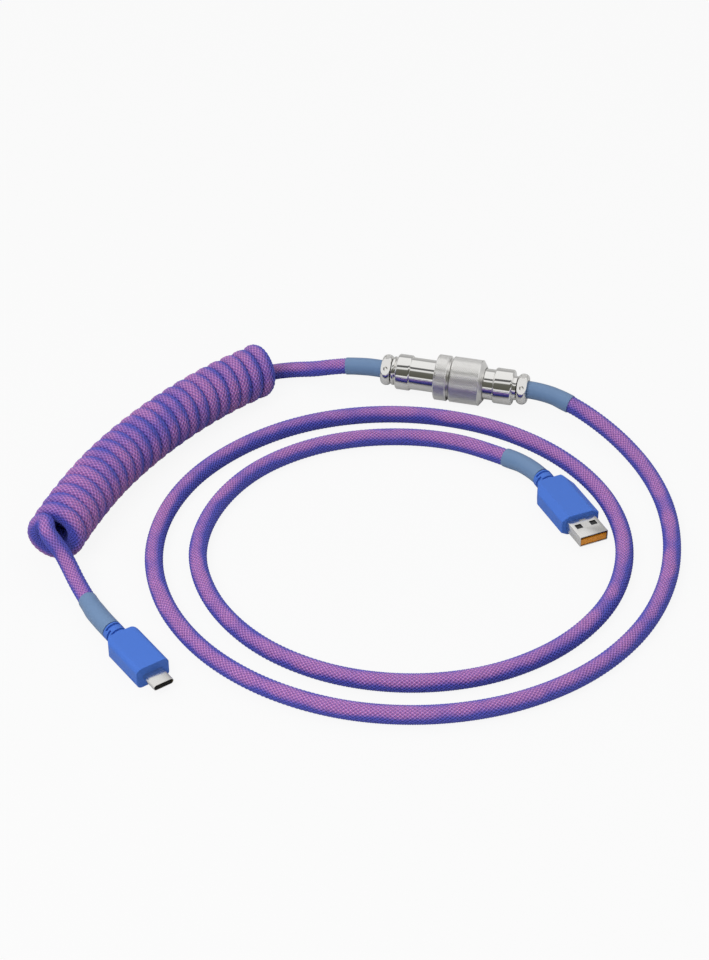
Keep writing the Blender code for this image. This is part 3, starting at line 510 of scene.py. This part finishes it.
def braid():
    """Raised strands of three filaments over the core; the core's colours are darkened as painted
    shade where it shows between the strands.

    Painted light and shade: all is deep blue on the side painted in shade and turns violet on the
    side painted lit, with pink crossings there: a map of the corners gives that share, from 0 to 1.
    """
    made, tree, shader = plain("braid_purple", STRAND_LIT, 0.5)
    weave = node(tree, "ShaderNodeUVMap", uv_map="weave").outputs[0]
    lattice = node(tree, "ShaderNodeSeparateXYZ", {0: weave})
    offsets = []
    for axis in (0, 1):
        shifted = maths(tree, "FRACT", maths(tree, "ADD", lattice.outputs[axis], 0.5))
        offsets.append(maths(tree, "ABSOLUTE", maths(tree, "SUBTRACT", shifted, 0.5)))
    nearest = maths(tree, "MINIMUM", *offsets)
    crossing = node(tree, "ShaderNodeMapRange", {0: maths(tree, "MAXIMUM", *offsets), 1: 0.15, 2: 0.27,
                                                 3: 1.0, 4: 0.0}).outputs[0]
    # Where the core shows between the strands, in colours darkened as painted shade.
    core = node(tree, "ShaderNodeMapRange", {0: nearest, 1: STRAND_HALF_WIDTH - 0.06,
                                             2: STRAND_HALF_WIDTH + 0.04}).outputs[0]
    filament = maths(tree, "SINE", maths(tree, "MULTIPLY", nearest, 2 * math.pi / 0.13))
    ridge = node(tree, "ShaderNodeMapRange", {0: filament, 1: -1.0, 2: 1.0, 3: 0.85, 4: 1.12})
    spot = node(tree, "ShaderNodeTexCoord").outputs["Object"]
    speckle = node(tree, "ShaderNodeTexNoise", {"Vector": spot, "Scale": 2200.0, "Detail": 2.0})
    speckle = node(tree, "ShaderNodeMapRange", {0: speckle.outputs[0], 1: 0.3, 2: 0.7,
                                                3: 0.82, 4: 1.18})
    patches = node(tree, "ShaderNodeTexNoise", {"Vector": spot, "Scale": 75.0, "Detail": 1.0})
    drift = node(tree, "ShaderNodeMapRange", {0: patches.outputs[0], 1: 0.3, 2: 0.7,
                                              3: -0.16, 4: 0.16})
    # Painted light and shade: the share of the lit copy of each colour, from how the surface faces the
    # lit side, with random patches.
    lit_facing = node(tree, "ShaderNodeSeparateXYZ",
                   {0: node(tree, "ShaderNodeUVMap", uv_map="lit_facing").outputs[0]}).outputs[0]
    lit_facing = maths(tree, "ADD", lit_facing, drift.outputs[0])
    lit_facing = node(tree, "ShaderNodeMapRange", {0: lit_facing, 1: 0.48, 2: 1.0},
                   interpolation_type="SMOOTHSTEP").outputs[0]
    strand = mixed(tree, crossing, (*STRAND_LIT, 1.0), (*CROSSING_LIT, 1.0))
    strand = mixed(tree, lit_facing, (*STRAND_SHADE, 1.0), strand)
    # The core's colour, darkened as painted shade between the strands, in its lit and shaded copies.
    under = mixed(tree, lit_facing, (*CORE_SHADE, 1.0), (*CORE_LIT, 1.0))
    colour = mixed(tree, core, strand, under)
    for shade in (ridge, speckle):
        colour = node(tree, "ShaderNodeVectorMath", {0: colour, 1: shade.outputs[0]},
                      operation="MULTIPLY").outputs[0]
    tree.links.new(colour, shader.inputs["Base Color"])
    shader.inputs["Sheen Weight"].default_value = 0.06
    shader.inputs["Sheen Roughness"].default_value = 0.4
    shader.inputs["Sheen Tint"].default_value = (0.5, 0.45, 1.0, 1.0)
    return made


def polished_nickel():
    made, tree, shader = plain("polished_nickel", (0.86, 0.85, 0.83), 0.07, 1.0)
    grain(tree, shader, 900.0, 0.02, 0.02 * MM)
    return made


def satin_nickel():
    made, tree, shader = plain("satin_nickel", (0.93, 0.92, 0.90), 0.28, 1.0)
    grain(tree, shader, 6000.0, 0.15, 0.02 * MM)
    return made


def plug_shell_steel():
    made, tree, shader = plain("plug_shell_steel", (0.78, 0.77, 0.75), 0.2, 1.0)
    grain(tree, shader, 2500.0, 0.05, 0.02 * MM)
    return made


def contact_gold():
    return plain("contact_gold", (0.90, 0.66, 0.28), 0.22, 1.0)[0]


def insulator_black():
    made, tree, shader = plain("insulator_black", (0.012, 0.012, 0.013), 0.38)
    grain(tree, shader, 4000.0, 0.1, 0.02 * MM)
    return made


def tongue_amber():
    made, tree, shader = plain("tongue_amber", (0.80, 0.30, 0.02), 0.35)
    grain(tree, shader, 3000.0, 0.02, 0.02 * MM)
    return made


def overmould_blue():
    made, tree, shader = plain("overmould_blue", OVERMOULD_BLUE, 0.42, Specular_IOR_Level=0.25)
    grain(tree, shader, 5000.0, 0.12, 0.03 * MM)
    return made


def shrink_tube_blue_grey():
    made, tree, shader = plain("shrink_tube_blue_grey", SHRINK_BLUE, 0.38)
    grain(tree, shader, 1200.0, 0.08, 0.05 * MM)
    return made


def inner_jacket_black():
    return plain("inner_jacket_black", (0.02, 0.02, 0.022), 0.5)[0]


def inner_mould_white():
    return plain("inner_mould_white", (0.75, 0.75, 0.72), 0.5)[0]


def board_green():
    return plain("board_green", (0.02, 0.16, 0.07), 0.4)[0]


SKINS = {
    "braid_purple": cached(braid),
    "polished_nickel": cached(polished_nickel),
    "satin_nickel": cached(satin_nickel),
    "plug_shell_steel": cached(plug_shell_steel),
    "contact_gold": cached(contact_gold),
    "insulator_black": cached(insulator_black),
    "tongue_amber": cached(tongue_amber),
    "overmould_blue": cached(overmould_blue),
    "shrink_tube_blue_grey": cached(shrink_tube_blue_grey),
    "inner_jacket_black": cached(inner_jacket_black),
    "inner_mould_white": cached(inner_mould_white),
    "board_green": cached(board_green),
}


# Connector --------------------------------------------------------------------------------------

def knurl(first, last, depth):
    """Diamond knurl between two stations: crossing grooves, four points of the grid apart."""
    def cut(x, radii, angle):
        row = np.arange(x.shape[0])[:, None]
        column = np.arange(angle.shape[1])[None, :]
        rising = np.abs((row + column) % 4 - 2)
        falling = np.abs((row - column) % 4 - 2)
        inside = (x > first) & (x < last) & (radii > 9.3)
        return radii - depth / 2 * np.maximum(rising, falling) * inside
    return cut


def even_stations(first, last, step, radius):
    count = round(abs(last - first) / step)
    return [(first + (last - first) * k / count, radius) for k in range(count + 1)]


def threaded(first, last, depth, pitch):
    """A helical groove of triangular section on the outer surface between two stations."""
    def cut(x, radii, angle):
        phase = np.mod(x / pitch - angle / (2 * math.pi), 1.0)
        groove = depth * (1.0 - np.abs(2 * phase - 1.0))
        fade = np.clip(np.minimum(x - first, last - x) / 0.3, 0.0, 1.0)
        inside = (x > first) & (x < last) & (np.abs(radii - 7.8) < 0.01)
        return radii - groove * fade * inside
    return cut


def coupling_nut():
    start, end = -1.2, 12.7
    profile = [(start, 9.0), (start, 8.1), (6.7, 8.1), (6.7, 6.75), (end, 6.75), (end, 7.3),
               (end - 0.08, 7.45)]
    profile += even_stations(end - 1.55, start + 0.45, KNURL_ROW, 9.5)
    profile += [(start + 0.05, 9.1)]
    nut = turned("coupling_nut_looks", profile, KNURL_STEPS, knurl(start + 0.5, end - 1.6, KNURL_DEPTH))
    settle(nut, "satin_nickel", "coupling_nut", "coupling_nut")


def device_front_body():
    profile = [(-7.6, 9.1), (-7.6, 5.6), (-11.0, 5.6), (-11.0, 4.9), (-7.0, 4.9), (-7.0, 5.6),
               (-3.0, 5.6), (-3.0, 6.55), (2.6, 6.55), (2.6, 7.45)]
    profile += even_stations(2.2, -2.2, 0.1, 7.8)
    profile += [(-2.2, 9.1)]
    profile += even_stations(-2.6, -7.2, KNURL_ROW, 9.5)

    def relief(x, radii, angle):
        radii = knurl(-7.15, -2.65, KNURL_DEPTH)(x, radii, angle)
        return threaded(-2.0, 2.3, 0.33, 1.0)(x, radii, angle)
    body = turned("device_front_body_looks", profile, KNURL_STEPS, relief)
    settle(body, "satin_nickel", "device_side", "device_front_body")


def clamp_place(start):
    """Section of a clamp: u across the split, v toward the strap's flat, w along the cable."""
    tilt = math.radians(CLAMP_TILT)
    turn = Matrix(((0.0, math.sin(tilt), math.cos(tilt)), (0.0, -math.cos(tilt), math.sin(tilt)),
                   (1.0, 0.0, 0.0))).transposed().to_4x4()
    return Matrix.Translation(Vector((start, 0.0, 9.5)) * MM) @ turn


def clamp_spot(start, u, v):
    """A place half way along a clamp, across its section."""
    return clamp_place(start) @ Matrix.Translation(Vector((u, v, CLAMP_LENGTH / 2)) * MM)


def arc(radius, first, last, steps):
    angles = [math.radians(first + (last - first) * i / steps) for i in range(steps + 1)]
    return [(radius * math.cos(a), radius * math.sin(a)) for a in angles]


def clamp_half(name, start, first, last):
    """Half of a clamp between two angles: a barrel-shaped collar with a flat milled on it."""
    profile = rounded_profile(CLAMP_PROFILE, 0.3)
    x, r = (np.array(values) for values in zip(*profile))
    if start > 0:
        x = CLAMP_LENGTH - x
        x, r = x[::-1], r[::-1]
    angle = np.radians(np.linspace(first, last, 97))
    u = r[None] * np.cos(angle)[:, None]
    v = r[None] * np.sin(angle)[:, None]
    v = np.minimum(v, CLAMP_FLAT)
    w = np.repeat(x[None], len(angle), axis=0)
    points = np.stack([u, v, w], axis=-1)
    rows, columns = points.shape[:2]
    bm = bmesh.new()
    place = clamp_place(start)
    grid = [[bm.verts.new(place @ Vector(p * MM)) for p in row] for row in points]
    for one, other in zip(grid, grid[1:]):
        for k in range(columns):
            bm.faces.new((one[k - 1], one[k], other[k], other[k - 1]))
    bm.faces.new(grid[0])
    bm.faces.new(grid[-1][::-1])
    bmesh.ops.recalc_face_normals(bm, faces=bm.faces)
    mesh = bpy.data.meshes.new(name)
    bm.to_mesh(mesh)
    bm.free()
    mesh.shade_smooth()
    mesh.set_sharp_from_angle(angle=math.radians(22.0))
    made = bpy.data.objects.new(name, mesh)
    bpy.context.scene.collection.objects.link(made)
    return made


def flatten(thing, normal=Vector((0.0, 0.0, 0.0))):
    """Shade flat the faces that look along a normal, and part the rest at its sharper edges."""
    mesh = thing.data
    mesh.shade_smooth()
    mesh.set_sharp_from_angle(angle=math.radians(22.0))
    for face in mesh.polygons:
        if face.normal.dot(normal) > 0.999:
            face.use_smooth = False


def dimple(name, place, mouth, floor, depth, steps=32):
    """A tapered round cutter along the local v axis of a clamp, centred on its place."""
    bm = bmesh.new()
    bmesh.ops.create_cone(bm, cap_ends=True, segments=steps, radius1=mouth * MM,
                          radius2=floor * MM, depth=depth * MM,
                          matrix=place @ Matrix.Rotation(math.pi / 2, 4, "X"))
    mesh = bpy.data.meshes.new(name)
    bm.to_mesh(mesh)
    bm.free()
    made = bpy.data.objects.new(name, mesh)
    bpy.context.scene.collection.objects.link(made)
    return made


def carve(thing, tool, operation="DIFFERENCE"):
    """Cut a tool out of a piece, or join it on, for good; the tool is used up."""
    step = thing.modifiers.new("carve", "BOOLEAN")
    step.operation = operation
    step.object = tool
    bpy.context.view_layer.update()
    graph = bpy.context.evaluated_depsgraph_get()
    thing.data = bpy.data.meshes.new_from_object(thing.evaluated_get(graph))
    thing.modifiers.clear()
    bpy.data.objects.remove(tool, do_unlink=True)
    return thing


def rounded_profile(points, reach=0.25, steps=4):
    """A profile with each of its corners eased by a small round."""
    eased = []
    for i, here in enumerate(points):
        here, before, after = (np.array(p, float) for p in (here, points[i - 1],
                                                            points[(i + 1) % len(points)]))
        cut = min(reach, np.linalg.norm(before - here) / 2.2, np.linalg.norm(after - here) / 2.2)
        start = here + (before - here) / np.linalg.norm(before - here) * cut
        end = here + (after - here) / np.linalg.norm(after - here) * cut
        for k in range(steps + 1):
            t = k / steps
            eased.append(tuple((1 - t) ** 2 * start + 2 * t * (1 - t) * here + t ** 2 * end))
    return eased


def back_shells():
    device = [(-26.3, 4.1), (-23.0, 4.1), (-21.5, 5.9), (-7.9, 5.9), (-7.9, 6.7), (-18.2, 6.7),
              (-18.2, 7.0), (-18.7, 7.4), (-23.8, 7.4), (-24.3, 6.9), (-24.6, 5.0), (-25.0, 5.0),
              (-25.05, 5.7), (-25.35, 6.0), (-26.0, 6.0), (-26.3, 5.7)]
    host = [(26.3, 4.1), (26.3, 5.0), (24.9, 5.0), (24.9, 6.8), (24.3, 7.4), (17.4, 7.4),
            (16.9, 7.0), (16.9, 6.4), (7.0, 6.4), (7.0, 5.8), (21.9, 5.8), (23.4, 4.1)]
    shell = turned("device_barrel", rounded_profile(device, 0.2), 160)
    settle(shell, "polished_nickel", "device_side", "device_back_shell")
    shell = turned("host_barrel", rounded_profile(host, 0.2), 160)
    settle(shell, "polished_nickel", "host_side", "host_back_shell")
    for half, start in CLAMP_STARTS.items():
        saddle = clamp_half(half + "_clamp_saddle", start, -178.5, -1.5)
        carve(saddle, dimple("seat", clamp_spot(start, -4.5, -4.7), 1.25, 1.25, 3.0))
        flatten(saddle)
        settle(saddle, "polished_nickel", half + "_side", half + "_back_shell")


def clamps():
    for half, start in CLAMP_STARTS.items():
        body = half + "_side"
        strap = clamp_half(half + "_strap", start, 1.5, 178.5)
        carve(strap, dimple("recess", clamp_spot(start, -0.9, 5.0), 1.0, 0.5, 0.8))
        carve(strap, dimple("seat", clamp_spot(start, 4.5, 4.7), 1.25, 1.25, 3.0))
        flatten(strap, clamp_place(start).to_3x3() @ Vector((0.0, 1.0, 0.0)))
        settle(strap, "polished_nickel", body, half + "_clamp_strap")
        for side, inward in (("upper", (-1.1, 0.0, 0.0)), ("lower", (1.1, 1.1, 0.0))):
            name = f"{half}_clamp_screw_{side}"
            screw = softened(f"{half}_screw_{side}", name, 0.12)
            move = clamp_place(start).to_3x3() @ Vector(inward) * MM
            screw.data.transform(Matrix.Translation(move))
            settle(screw, "plug_shell_steel", body, name)


def keep_cad(skin, *nodes):
    """CAD nodes that are shown as they are, with this material."""
    for name in nodes:
        part = frame["nodes"][name]
        part.data.materials.clear()
        part.data.materials.append(SKINS[skin]())


def build_connector():
    coupling_nut()
    device_front_body()
    back_shells()
    clamps()
    keep_cad("polished_nickel", "host_plug_sleeve")
    keep_cad("plug_shell_steel", "nut_thrust_ring")
    keep_cad("insulator_black", "device_insert", "host_insert")
    for number in range(1, 6):
        keep_cad("contact_gold", f"device_pin_{number}", f"host_contact_{number}")
    keep_cad("inner_jacket_black", "device_cable_core", "host_cable_core", "usb_a_cable_core",
             "usb_c_cable_core")


# Shrink tubes and plugs -------------------------------------------------------------------------

def shrink_tube(place, route, cable_radius, body, mouth_first, inner=3.65 * MM):
    """Shrunk tube: it grips the braid at its mouth and the inner jacket further in."""
    path = smooth_path(metres(route), 0.4 * MM)
    if not mouth_first:
        path = path[::-1]
    along = lengths_along(path)
    mouth = cable_radius + SHRINK_WALL
    share = np.clip((along - 3.0 * MM) / (5.0 * MM), 0.0, 1.0)
    share = share * share * (3.0 - 2.0 * share)
    outer = mouth + (inner - mouth) * share
    lip = np.clip(1.0 - along / (0.5 * MM), 0.0, 1.0)
    outer = outer - 0.12 * MM * lip
    bore = cable_radius + 0.02 * MM + (3.05 * MM - cable_radius - 0.02 * MM) * share
    made = tube(place + "_shrink", path, outer, bore)
    settle(made, "shrink_tube_blue_grey", body, place + "_shrink_tube")
    return made


def build_shrink_tubes():
    return {
        "device": shrink_tube("device", DEVICE_SHRINK_ROUTE, DEVICE_CABLE_RADIUS, "device_side", True),
        "host": shrink_tube("host", HOST_SHRINK_ROUTE, HOST_CABLE_RADIUS, "host_side", False),
        "usb_a": shrink_tube("usb_a", USB_A_SHRINK_ROUTE, HOST_CABLE_RADIUS, "host_side", True),
        "usb_c": shrink_tube("usb_c", USB_C_SHRINK_ROUTE, DEVICE_CABLE_RADIUS, "device_side", True,
                             3.85 * MM),
    }


def plug_frame(front, heading, height):
    """Places a plug's own frame: x out of its front face, y across it and z up, in millimetres."""
    return (Matrix.Translation(Vector((*front, height / 2)) * MM)
            @ Matrix.Rotation(math.radians(heading), 4, "Z"))


def section_frame(plug, station):
    """Maps a section in (y, z) pushed along x to the frame, from a station of a plug."""
    turn = Matrix(((0, 0, 1), (1, 0, 0), (0, 1, 0))).to_4x4()
    return plug @ Matrix.Translation(Vector((station, 0.0, 0.0)) * MM) @ turn


def rounded(width, height, radius, steps=8):
    """A rectangle with round corners, anticlockwise."""
    corners = [(1, -1, -90.0), (1, 1, 0.0), (-1, 1, 90.0), (-1, -1, 180.0)]
    points = []
    for side, level, first in corners:
        for u, v in arc(radius, first, first + 90.0, steps):
            points.append((side * (width / 2 - radius) + u, level * (height / 2 - radius) + v))
    return points


def block(name, plug, section, length, plan, top):
    """A grip: a section pushed forward to the front face, trimmed to a plan seen from above."""
    body = prism(name, section, length, section_frame(plug, -length))
    lift = plug @ Matrix.Translation(Vector((0.0, 0.0, -top)) * MM)
    carve(body, prism(name + "_plan", plan, 2 * top, lift), "INTERSECT")
    bm = bmesh.new()
    bm.from_mesh(body.data)
    bmesh.ops.remove_doubles(bm, verts=bm.verts, dist=0.01 * MM)
    bmesh.ops.dissolve_limit(bm, angle_limit=math.radians(1.0), verts=bm.verts, edges=bm.edges)
    bm.to_mesh(body.data)
    bm.free()
    return body


def relief_neck(name, plug, rear, front, radius, floor):
    """The round neck behind a grip, with three staggered rows of flexing slots."""
    profile = [(rear, 0.01), (rear, radius - 0.25), (rear + 0.25, radius), (front, radius), (front, 0.01)]
    neck = turned(name, profile[::-1], 96, centre=(0.0, 0.0, 0.0))
    neck.data.transform(plug)
    for row in range(3):
        station = rear + 0.9 + 1.75 * row
        for side in (0.0, 180.0):
            first = side + (35.0 if row % 2 == 0 else -55.0)
            outline = arc(floor, first, first + 110.0, 24) + arc(radius + 1.0, first + 110.0, first, 24)
            carve(neck, prism("slot", outline, RELIEF_SLOT_WIDTH, section_frame(plug, station)))
    neck.data.shade_smooth()
    neck.data.set_sharp_from_angle(angle=math.radians(30.0))
    return neck


def usb_a_grip(plug):
    """Faceted grip with chamfered back corners and a bevelled front rim."""
    half, top, flat = USB_A_WIDTH / 2, USB_A_HEIGHT / 2, USB_A_FLAT
    side = top - USB_A_FACET
    section = [(-half, -side), (-flat, -top), (flat, -top), (half, -side),
               (half, side), (flat, top), (-flat, top), (-half, side)]
    shoulder = USB_A_SHOULDER - USB_A_BODY
    plan = [(-USB_A_BODY, -flat), (shoulder, -half - 0.05), (1.0, -half - 0.05), (1.0, half + 0.05),
            (shoulder, half + 0.05), (-USB_A_BODY, flat)]
    grip = bevelled(block("usb_a_grip", plug, section, USB_A_BODY, plan, 6.0), 0.4, 4, 20.0)
    settle(grip, "overmould_blue", "host_side", "usb_a_overmould")
    neck = relief_neck("usb_a_neck", plug, -USB_A_BODY - 6.0, -USB_A_BODY + 1.5, 3.95, 3.0)
    settle(neck, "overmould_blue", "host_side", "usb_a_overmould")
    return [grip, neck]


def usb_c_grip(plug):
    """Rounded grip with a parting slit low on each side near the front."""
    section = rounded(USB_C_WIDTH, USB_C_HEIGHT, USB_C_EDGE)
    half, rear, corner = USB_C_WIDTH / 2, -USB_C_BODY, USB_C_CORNER
    plan = ([(x + rear + corner, y - half + corner) for x, y in arc(corner, 180.0, 270.0, 8)]
            + [(1.0, -half - 0.05), (1.0, half + 0.05)]
            + [(x + rear + corner, y + half - corner) for x, y in arc(corner, 90.0, 180.0, 8)])
    grip = bevelled(block("usb_c_grip", plug, section, USB_C_BODY, plan, 6.0), 0.9, 5, 32.0)
    for side in (-1, 1):
        outline = [(side * half + u, v - 1.9) for u, v in rounded(2.4, 0.6, 0.1, 2)]
        carve(grip, prism("slit", outline, 4.4, section_frame(plug, -5.8)))
    grip.data.shade_smooth()
    grip.data.set_sharp_from_angle(angle=math.radians(30.0))
    settle(grip, "overmould_blue", "device_side", "usb_c_overmould")
    neck = relief_neck("usb_c_neck", plug, rear - 6.4, rear + 1.5, 3.85, 2.9)
    settle(neck, "overmould_blue", "device_side", "usb_c_overmould")
    return [grip, neck]


def usb_a_steel(plug):
    """Folded shell with its windows and a small spring tab, and a dark plate under its top wall as
    painted shade seen through them.
    """
    shell = softened("usb_a_steel", "usb_a_shell", 0.09)
    settle(shell, "plug_shell_steel", "host_side", "usb_a_shell")
    tab = prism("usb_a_tab", rounded(2.6, 1.0, 0.35, 4), 0.35,
                plug @ Matrix.Translation(Vector((1.0, 0.0, USB_A_SHELL[1] / 2 - 0.08)) * MM)
                @ Matrix.Rotation(math.pi / 2, 4, "Z"))
    settle(bevelled(tab, 0.08, 2), "plug_shell_steel", "host_side", "usb_a_shell")
    # Painted shade: a thin dark plate under the top wall, seen only through the windows.
    window_shade = prism("usb_a_window_shade", [(1.5, -5.3), (9.6, -5.3), (9.6, 5.3), (1.5, 5.3)], 0.2,
                  plug @ Matrix.Translation(Vector((0.0, 0.0, 1.55)) * MM))
    settle(window_shade, "insulator_black", "host_side")
    return [shell, tab, window_shade]


def build_plugs():
    """Both USB plugs, as lists of the pieces that go with each cord."""
    plug = plug_frame(USB_A_FRONT, USB_A_HEADING, USB_A_HEIGHT)
    usb_a = usb_a_grip(plug) + usb_a_steel(plug)
    plug = plug_frame(USB_C_FRONT, USB_C_HEADING, USB_C_HEIGHT)
    shell = softened("usb_c_steel", "usb_c_shell", 0.07, 3)
    settle(shell, "plug_shell_steel", "device_side", "usb_c_shell")
    usb_c = usb_c_grip(plug) + [shell]
    keep_cad("tongue_amber", "usb_a_tongue")
    keep_cad("contact_gold", *(f"usb_a_contact_{n}" for n in range(1, 5)),
             "usb_c_contacts_upper", "usb_c_contacts_lower")
    keep_cad("inner_mould_white", "usb_a_inner_mould")
    keep_cad("insulator_black", "usb_c_insulator")
    keep_cad("board_green", "usb_c_board")
    keep_cad("plug_shell_steel", "usb_c_inner_can")
    nodes = frame["nodes"]
    usb_a += [nodes[n] for n in nodes if n.startswith("usb_a") and not nodes[n].hide_render]
    usb_c += [nodes[n] for n in nodes if n.startswith("usb_c") and not nodes[n].hide_render]
    return usb_a, usb_c


# Cords ------------------------------------------------------------------------------------------

def build_cords():
    path = host_cord_path()
    lit_sides = np.tile((*LIT_SIDE, 0.0, 0.0, 0.0), (len(path), 1))
    cable = braided_cord("host_cord", path, lit_sides, HOST_CABLE_RADIUS, HOST_STRANDS)
    settle(cable, "braid_purple", "host_side", "host_cable")
    path = device_cord_path()
    cable = braided_cord("device_cord", path, outward_from_coil(path), DEVICE_CABLE_RADIUS,
                         DEVICE_STRANDS)
    settle(cable, "braid_purple", "device_side", "device_lead", "device_coil", "device_tail")


# Stage ------------------------------------------------------------------------------------------

def build_world():
    """Studio surroundings, painted by the angle from the front horizon over to the back one."""
    world = bpy.data.worlds.new("studio")
    bpy.context.scene.world = world
    world.use_nodes = True
    tree = world.node_tree
    heading = node(tree, "ShaderNodeTexCoord").outputs["Generated"]
    turn = math.radians(CAMERA_TURN[2])
    toward = node(tree, "ShaderNodeVectorMath", {0: heading, 1: (math.sin(turn), -math.cos(turn), 0.0)},
                  operation="DOT_PRODUCT").outputs["Value"]
    height = node(tree, "ShaderNodeSeparateXYZ", {0: heading}).outputs[2]
    angle = maths(tree, "ARCTAN2", height, toward)
    share = maths(tree, "DIVIDE", angle, math.pi)
    ramp = node(tree, "ShaderNodeValToRGB", {0: share})
    stops = ramp.color_ramp.elements
    while len(stops) > 1:
        stops.remove(stops[-1])
    for k, (degrees, level) in enumerate(SKY_BANDS):
        stop = stops[0] if k == 0 else stops.new(degrees / 180.0)
        stop.position = degrees / 180.0
        stop.color = (*level, 1.0)
    back = tree.nodes["Background"]
    tree.links.new(ramp.outputs[0], back.inputs["Color"])
    back.inputs["Strength"].default_value = SKY_STRENGTH


def area_light(name, place, target, size, power, colour=(1.0, 1.0, 1.0)):
    lamp = bpy.data.lights.new(name, "AREA")
    lamp.shape = "RECTANGLE"
    lamp.size, lamp.size_y = size
    lamp.energy = power
    lamp.color = colour
    made = bpy.data.objects.new(name, lamp)
    made.location = place
    made.rotation_euler = (Vector(target) - Vector(place)).to_track_quat("-Z", "Y").to_euler()
    made.visible_glossy = False
    bpy.context.scene.collection.objects.link(made)


def floor_white():
    """A pale floor that the camera sees as overexposed, as on a light table."""
    made, tree, shader = plain("floor_white", (0.55, 0.55, 0.55), 0.9)
    glow = node(tree, "ShaderNodeEmission", {"Color": (1.0, 1.0, 1.0, 1.0), "Strength": 1.0})
    seen = node(tree, "ShaderNodeLightPath").outputs["Is Camera Ray"]
    blend = node(tree, "ShaderNodeMixShader", {0: maths(tree, "MULTIPLY", seen, 0.9),
                                               1: shader.outputs[0], 2: glow.outputs[0]})
    tree.links.new(blend.outputs[0], tree.nodes["Material Output"].inputs["Surface"])
    return made


def build_stage():
    floor = mesh_object("floor", np.array([(-3, -3, 0), (3, -3, 0), (3, 3, 0), (-3, 3, 0)]),
                        np.array([[0, 1, 2, 3]]), smooth=False)
    floor.data.materials.append(floor_white())
    build_world()
    area_light("key", (-0.35, -0.95, 1.15), (0.0, -0.1, 0.0), (1.0, 0.8), KEY_POWER)
    area_light("front_fill", (0.5, -1.6, 0.7), (0.0, -0.1, 0.0), (1.2, 0.6), FILL_POWER)


def build_camera():
    lens = bpy.data.cameras.new("camera")
    lens.lens = CAMERA_LENS
    lens.sensor_width = 36.0
    lens.clip_start = 0.01
    camera = bpy.data.objects.new("camera", lens)
    camera.location = CAMERA_PLACE
    camera.rotation_euler = [math.radians(a) for a in CAMERA_TURN]
    bpy.context.scene.collection.objects.link(camera)
    bpy.context.scene.camera = camera


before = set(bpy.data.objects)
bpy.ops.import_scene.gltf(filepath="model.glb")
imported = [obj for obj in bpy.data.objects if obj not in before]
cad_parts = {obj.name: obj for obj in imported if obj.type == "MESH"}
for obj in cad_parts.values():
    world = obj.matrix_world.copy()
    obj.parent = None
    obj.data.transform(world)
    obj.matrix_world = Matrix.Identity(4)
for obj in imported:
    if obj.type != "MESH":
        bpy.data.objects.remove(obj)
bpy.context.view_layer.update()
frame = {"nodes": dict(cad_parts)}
bpy.context.scene.view_settings.view_transform = "Standard"
build_camera()
build_stage()
build_connector()
shrink_tubes = build_shrink_tubes()
usb_a_pieces, usb_c_pieces = build_plugs()
build_cords()
